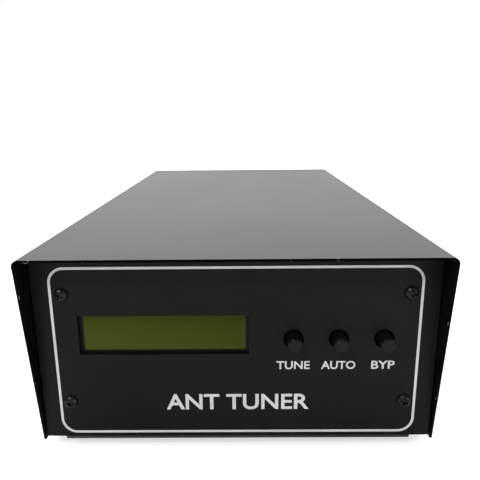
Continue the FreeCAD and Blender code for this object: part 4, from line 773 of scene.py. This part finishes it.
low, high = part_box("inductor_cores")
ring_radius = (high.x - low.x) / 2
run = high.y - low.y - 2 * ring_radius
rings = [((low.x + high.x) / 2, low.y + ring_radius + run * step / 3, 0.0) for step in range(4)]
dress(wound("ring_windings", rings, 14.0), "inductor_windings")
low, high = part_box("coupler_cores")
ring_radius = (high.z - low.z) / 2
pair = [(low.x + ring_radius, 0.0, (low.z + high.z) / 2), (high.x - ring_radius, 0.0, (low.z + high.z) / 2)]
dress(wound("coupler_turns", pair, 18.0, "Z"), "coupler_windings")
dress(brushed("bare_copper", (0.62, 0.27, 0.11), (0.72, 0.34, 0.15), 0.26, along=(1.0, 0.04, 1.0)),
      "air_coils", "coupler_rods")

# ---------------------------------------------------------------------------
# Chips, regulator and plugs
# Moulded black chips, the regulator on its finned aluminium heat sink, two aluminium
# capacitor cans in printed sleeves, and the plug headers of the wiring.
# ---------------------------------------------------------------------------
dress(surface("chip_plastic", (0.014, 0.014, 0.015), (0.022, 0.022, 0.022), 0.48, fine=1600.0, broad=160.0,
              relief=0.008, edge=0.2), "microcontroller", "driver_chips", "voltage_regulator")
dress(brushed("sink_metal", (0.66, 0.66, 0.68), (0.76, 0.76, 0.77), 0.36), "heat_sink")
dress(surface("can_sleeve", (0.012, 0.014, 0.05), (0.018, 0.02, 0.065), 0.28, broad=90.0, relief=0.005,
              edge=0.4), "supply_capacitors")
dress(surface("header_plastic", (0.013, 0.013, 0.013), (0.024, 0.024, 0.024), 0.55, edge=0.15),
      "display_header", "board_connectors")

# ---------------------------------------------------------------------------
# Leads
# Red insulated wires drop from the sockets and the jack to the board, and a grey flat
# cable joins the front board to the main one. They are fixed at both ends.
# ---------------------------------------------------------------------------
dress(surface("signal_sleeve", (0.42, 0.012, 0.010), (0.50, 0.02, 0.015), 0.40, broad=150.0, relief=0.006),
      "output_lead", "input_lead")
dress(surface("supply_sleeve", (0.30, 0.010, 0.008), (0.38, 0.016, 0.012), 0.44, broad=150.0,
              relief=0.006), "power_leads")
flat_cable = surface("flat_cable", (0.38, 0.38, 0.40), (0.46, 0.46, 0.48), 0.5, broad=100.0, relief=0.004)
tree, shader, tone = opened(flat_cable)
across = split(tree, object_place(tree))["X"]
cores_per_metre = 787.0                         # one core every 1.27 mm
rib = calc(tree, "ABSOLUTE", calc(tree, "SINE", times(tree, across, math.pi * cores_per_metre)))
feed(tree, shader, Normal=bumped(tree, rib, 0.3))
dress(flat_cable, "display_ribbon")

# ---------------------------------------------------------------------------
# Coaxial sockets
# Nickel-plated brass: a square flange with rounded corners, bolted on at its four holes,
# and a barrel cut with a fine thread that the plug's ring screws on to.
# ---------------------------------------------------------------------------
thread_tree, asked = new_growth("thread", Radius="Float", Pitch="Float", Turns="Float", Ridge="Float",
                                Steps="Int", Turn="Vector", Place="Vector", Finish="Material")
core_radius = calc(thread_tree, "SUBTRACT", asked["Radius"], asked["Ridge"])
helix = put(thread_tree, "GeometryNodeCurveSpiral", Resolution=asked["Steps"], Rotations=asked["Turns"],
            Start_Radius=core_radius, End_Radius=core_radius,
            Height=times(thread_tree, asked["Pitch"], asked["Turns"])).outputs[0]
ridge = put(thread_tree, "GeometryNodeCurvePrimitiveCircle", Resolution=4, Radius=asked["Ridge"]).outputs[0]
coil = put(thread_tree, "GeometryNodeCurveToMesh", Curve=helix, Profile_Curve=ridge, Fill_Caps=True)
finish_growth(thread_tree, asked, coil.outputs[0])


def thread(place, radius, pitch, length, ridge, finish, steps):
    """The helical ridge of an outside thread that starts at place and runs to the rear."""
    piece = grown("thread", thread_tree, Radius=radius, Pitch=pitch, Turns=length / pitch, Ridge=ridge,
                  Steps=steps, Turn=TURNS["+Y"], Place=tuple(place), Finish=finish)
    mesh = piece.data
    bpy.data.objects.remove(piece)
    return mesh


def plate(loops, thickness, bevel, place):
    """A flat plate from closed loops of (x, z) points, holes included; its front is at place."""
    outline = bpy.data.curves.new("plate", "CURVE")
    outline.dimensions, outline.fill_mode = "2D", "BOTH"
    outline.extrude = thickness / 2 - bevel
    outline.bevel_depth, outline.bevel_resolution, outline.offset = bevel, 2, -bevel
    for loop in loops:
        spline = outline.splines.new("POLY")
        spline.points.add(len(loop) - 1)
        spline.use_cyclic_u = True
        for point, (x, z) in zip(spline.points, loop):
            point.co = (x, z, 0.0, 1.0)
    holder = piece_from("plate", outline)
    mesh = baked(holder)
    bpy.data.objects.remove(holder)
    mesh.transform(Matrix.Translation(Vector(place) + Vector((0, thickness / 2, 0)))
                   @ Matrix.Rotation(math.pi / 2, 4, "X"))
    close_up(mesh, 0.0005 * MM)
    return mesh


def ring_points(radius, x=0.0, z=0.0, steps=32, start=0.0):
    angles = [math.radians(start) + 2 * math.pi * step / steps for step in range(steps)]
    return [(x + radius * math.cos(angle), z + radius * math.sin(angle)) for angle in angles]


nickel = brushed("nickel", (0.40, 0.385, 0.35), (0.50, 0.48, 0.43), 0.24, along=(1.0, 1.0, 1.0), scale=900.0,
                 relief=0.001, edge=0.1)
rear_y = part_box("rear_panel")[1].y
flange_half, flange_thick, flange_corner, flange_bevel = 12.7 * MM, 2.0 * MM, 2.0 * MM, 0.25 * MM
hole_reach, hole_radius = 9.15 * MM, 1.7 * MM
barrel_radius, barrel_end, bore_radius, shoulder = 7.94 * MM, 15.0 * MM, 6.4 * MM, 0.4 * MM
tail_end, tail_radius, tail_bore = -6.6 * MM, 6.2 * MM, 5.2 * MM
thread_ridge, thread_pitch, thread_gap, end_chamfer = 0.5 * MM, 1.058 * MM, 1.1 * MM, 0.4 * MM
root = barrel_radius - thread_ridge
for name, node in (("socket_output", "output_socket"), ("socket_input", "input_socket")):
    centre = middle(node)
    spot = (centre.x, rear_y, centre.z)
    loops = [rounded_rectangle(flange_half, -flange_half, flange_half, flange_corner, steps=6)]
    loops += [ring_points(hole_radius, u * hole_reach, v * hole_reach, 20) for u in (-1, 1) for v in (-1, 1)]
    loops.append(ring_points(tail_bore + 0.3 * MM))
    flange = plate(loops, flange_thick, flange_bevel, spot)
    barrel = turned("barrel", [(tail_end, tail_bore), (tail_end, tail_radius), (shoulder, tail_radius),
                               (shoulder, root), (barrel_end - 0.5 * MM, root),
                               (barrel_end, root - end_chamfer), (barrel_end, bore_radius),
                               (flange_thick, bore_radius), (flange_thick, tail_bore)],
                    spot, "+Y", steps=56, closed=True)
    cut = thread((spot[0], spot[1] + flange_thick + thread_gap, spot[2]), barrel_radius, thread_pitch,
                 barrel_end - flange_thick - 2 * thread_gap, thread_ridge, nickel, steps=48)
    stands_for(together(name, [flange, barrel, cut], nickel), "case", "nickel_plate", node)
dress(surface("white_insulator", (0.58, 0.56, 0.50), (0.66, 0.64, 0.58), 0.42, broad=130.0, relief=0.006,
              edge=0.15), "socket_insulators")
dress(brushed("silver", (0.56, 0.53, 0.46), (0.66, 0.63, 0.56), 0.24, along=(1.0, 0.04, 1.0)),
      "socket_contacts")

# ---------------------------------------------------------------------------
# Supply jack
# A black moulded jack whose threaded nose comes through the panel and is held by a thin
# nickel-plated nut; the pin stands in the middle of its bore.
# ---------------------------------------------------------------------------
jack_plastic = surface("jack_plastic", (0.010, 0.010, 0.010), (0.017, 0.017, 0.017), 0.42, broad=200.0,
                       relief=0.006, edge=0.12)
dress(jack_plastic, "power_jack")
centre = middle("power_jack_nut")
spot = (centre.x, rear_y, centre.z)
jack_thread, jack_bore, jack_nose, jack_pin = 4.0 * MM, 2.75 * MM, 4.0 * MM, 1.05 * MM
jack_tail, jack_body, jack_deep, jack_ridge = -13.6 * MM, 5.0 * MM, -5.0 * MM, 0.28 * MM
jack_root, jack_pitch, jack_chamfer = jack_thread - jack_ridge, 0.6 * MM, 0.3 * MM
pin_end, pin_taper, nut_play = jack_nose - 1.0 * MM, 0.4 * MM, 0.02 * MM
wall = -1.6 * MM                                # the rear panel's inner face, from its outer one
nose = turned("nose", [(jack_tail, 0.0), (jack_tail, jack_body), (wall, jack_body), (wall, jack_root),
                       (jack_nose - jack_chamfer, jack_root), (jack_nose, jack_root - jack_chamfer),
                       (jack_nose, jack_bore), (jack_deep, jack_bore), (jack_deep, jack_pin),
                       (pin_end - pin_taper, jack_pin), (pin_end, jack_pin * 0.5), (pin_end, 0.0)],
              spot, "+Y", steps=40)
cut = thread((spot[0], spot[1] + jack_chamfer, spot[2]), jack_thread, jack_pitch, jack_nose - 0.8 * MM,
             jack_ridge, jack_plastic, steps=32)
stands_for(together("jack_nose", [nose, cut], jack_plastic), "case", "jack_plastic", "power_jack")


def hexagon(flats):
    return ring_points(flats / math.sqrt(3), steps=6, start=30.0)


jack_nut_flats, jack_nut_thick, jack_nut_bevel = 10.0 * MM, 2.0 * MM, 0.2 * MM
jack_nut = plate([hexagon(jack_nut_flats), ring_points(jack_thread + nut_play)], jack_nut_thick,
                 jack_nut_bevel, spot)
stands_for(together("jack_nut", [jack_nut], nickel), "case", "nickel_plate", "power_jack_nut")

# ---------------------------------------------------------------------------
# Ground terminal
# A brass stud through the rear panel, clamped by nuts and washers. The cast wing nut turns
# on its thread to clamp the earth wire.
# ---------------------------------------------------------------------------
brass = brushed("brass", (0.50, 0.35, 0.14), (0.58, 0.43, 0.20), 0.30, along=(1.0, 0.05, 1.0), scale=1600.0)
centre = middle("ground_stud")
stud_radius, stud_ridge, stud_in, stud_out = 2.5 * MM, 0.32 * MM, 7.6 * MM, 17.0 * MM
spot = (centre.x, rear_y, centre.z)
stud_root, stud_pitch, stud_chamfer = stud_radius - stud_ridge, 0.8 * MM, 0.5 * MM
stud = turned("stud", [(-stud_in, 0.0), (-stud_in, stud_root), (stud_out - stud_chamfer, stud_root),
                       (stud_out, stud_root - stud_chamfer), (stud_out, 0.0)], spot, "+Y", steps=28)
cut = thread((spot[0], spot[1] - stud_in + stud_chamfer, spot[2]), stud_radius, stud_pitch,
             stud_in + stud_out - 1.4 * MM, stud_ridge, brass, steps=24)
stands_for(together("stud_brass", [stud, cut], brass), "case", "brass_stud", "ground_stud")
nut_thick, nut_flats, nut_bevel, washer_thick = 3.2 * MM, 8.0 * MM, 0.3 * MM, 1.0 * MM
inner_nut = wall - washer_thick - nut_thick
nuts = [plate([hexagon(nut_flats), ring_points(stud_radius + nut_play)], nut_thick, nut_bevel,
              (spot[0], spot[1] + start, spot[2])) for start in (washer_thick, inner_nut)]
stands_for(together("stud_nuts", nuts, brass), "case", "brass_stud", "ground_nuts")

cast_brass = surface("cast_brass", (0.44, 0.31, 0.12), (0.54, 0.39, 0.17), 0.38, metallic=1.0, fine=700.0,
                     broad=120.0, relief=0.03)
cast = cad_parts["ground_wing_nut"].data.copy()
close_up(cast, 0.01 * MM)
wings = piece_from("wing_nut_cast", cast)
modifier = wings.modifiers.new("even", "REMESH")
modifier.mode, modifier.voxel_size = "VOXEL", 0.22 * MM
modifier = wings.modifiers.new("soften", "SMOOTH")
modifier.factor, modifier.iterations = 0.5, 6
cast = baked(wings)
wings.modifiers.clear()
wings.data = cast
paint(cast, cast_brass)
cast.shade_smooth()
stands_for(wings, "wing_nut", "brass_stud", "ground_wing_nut")
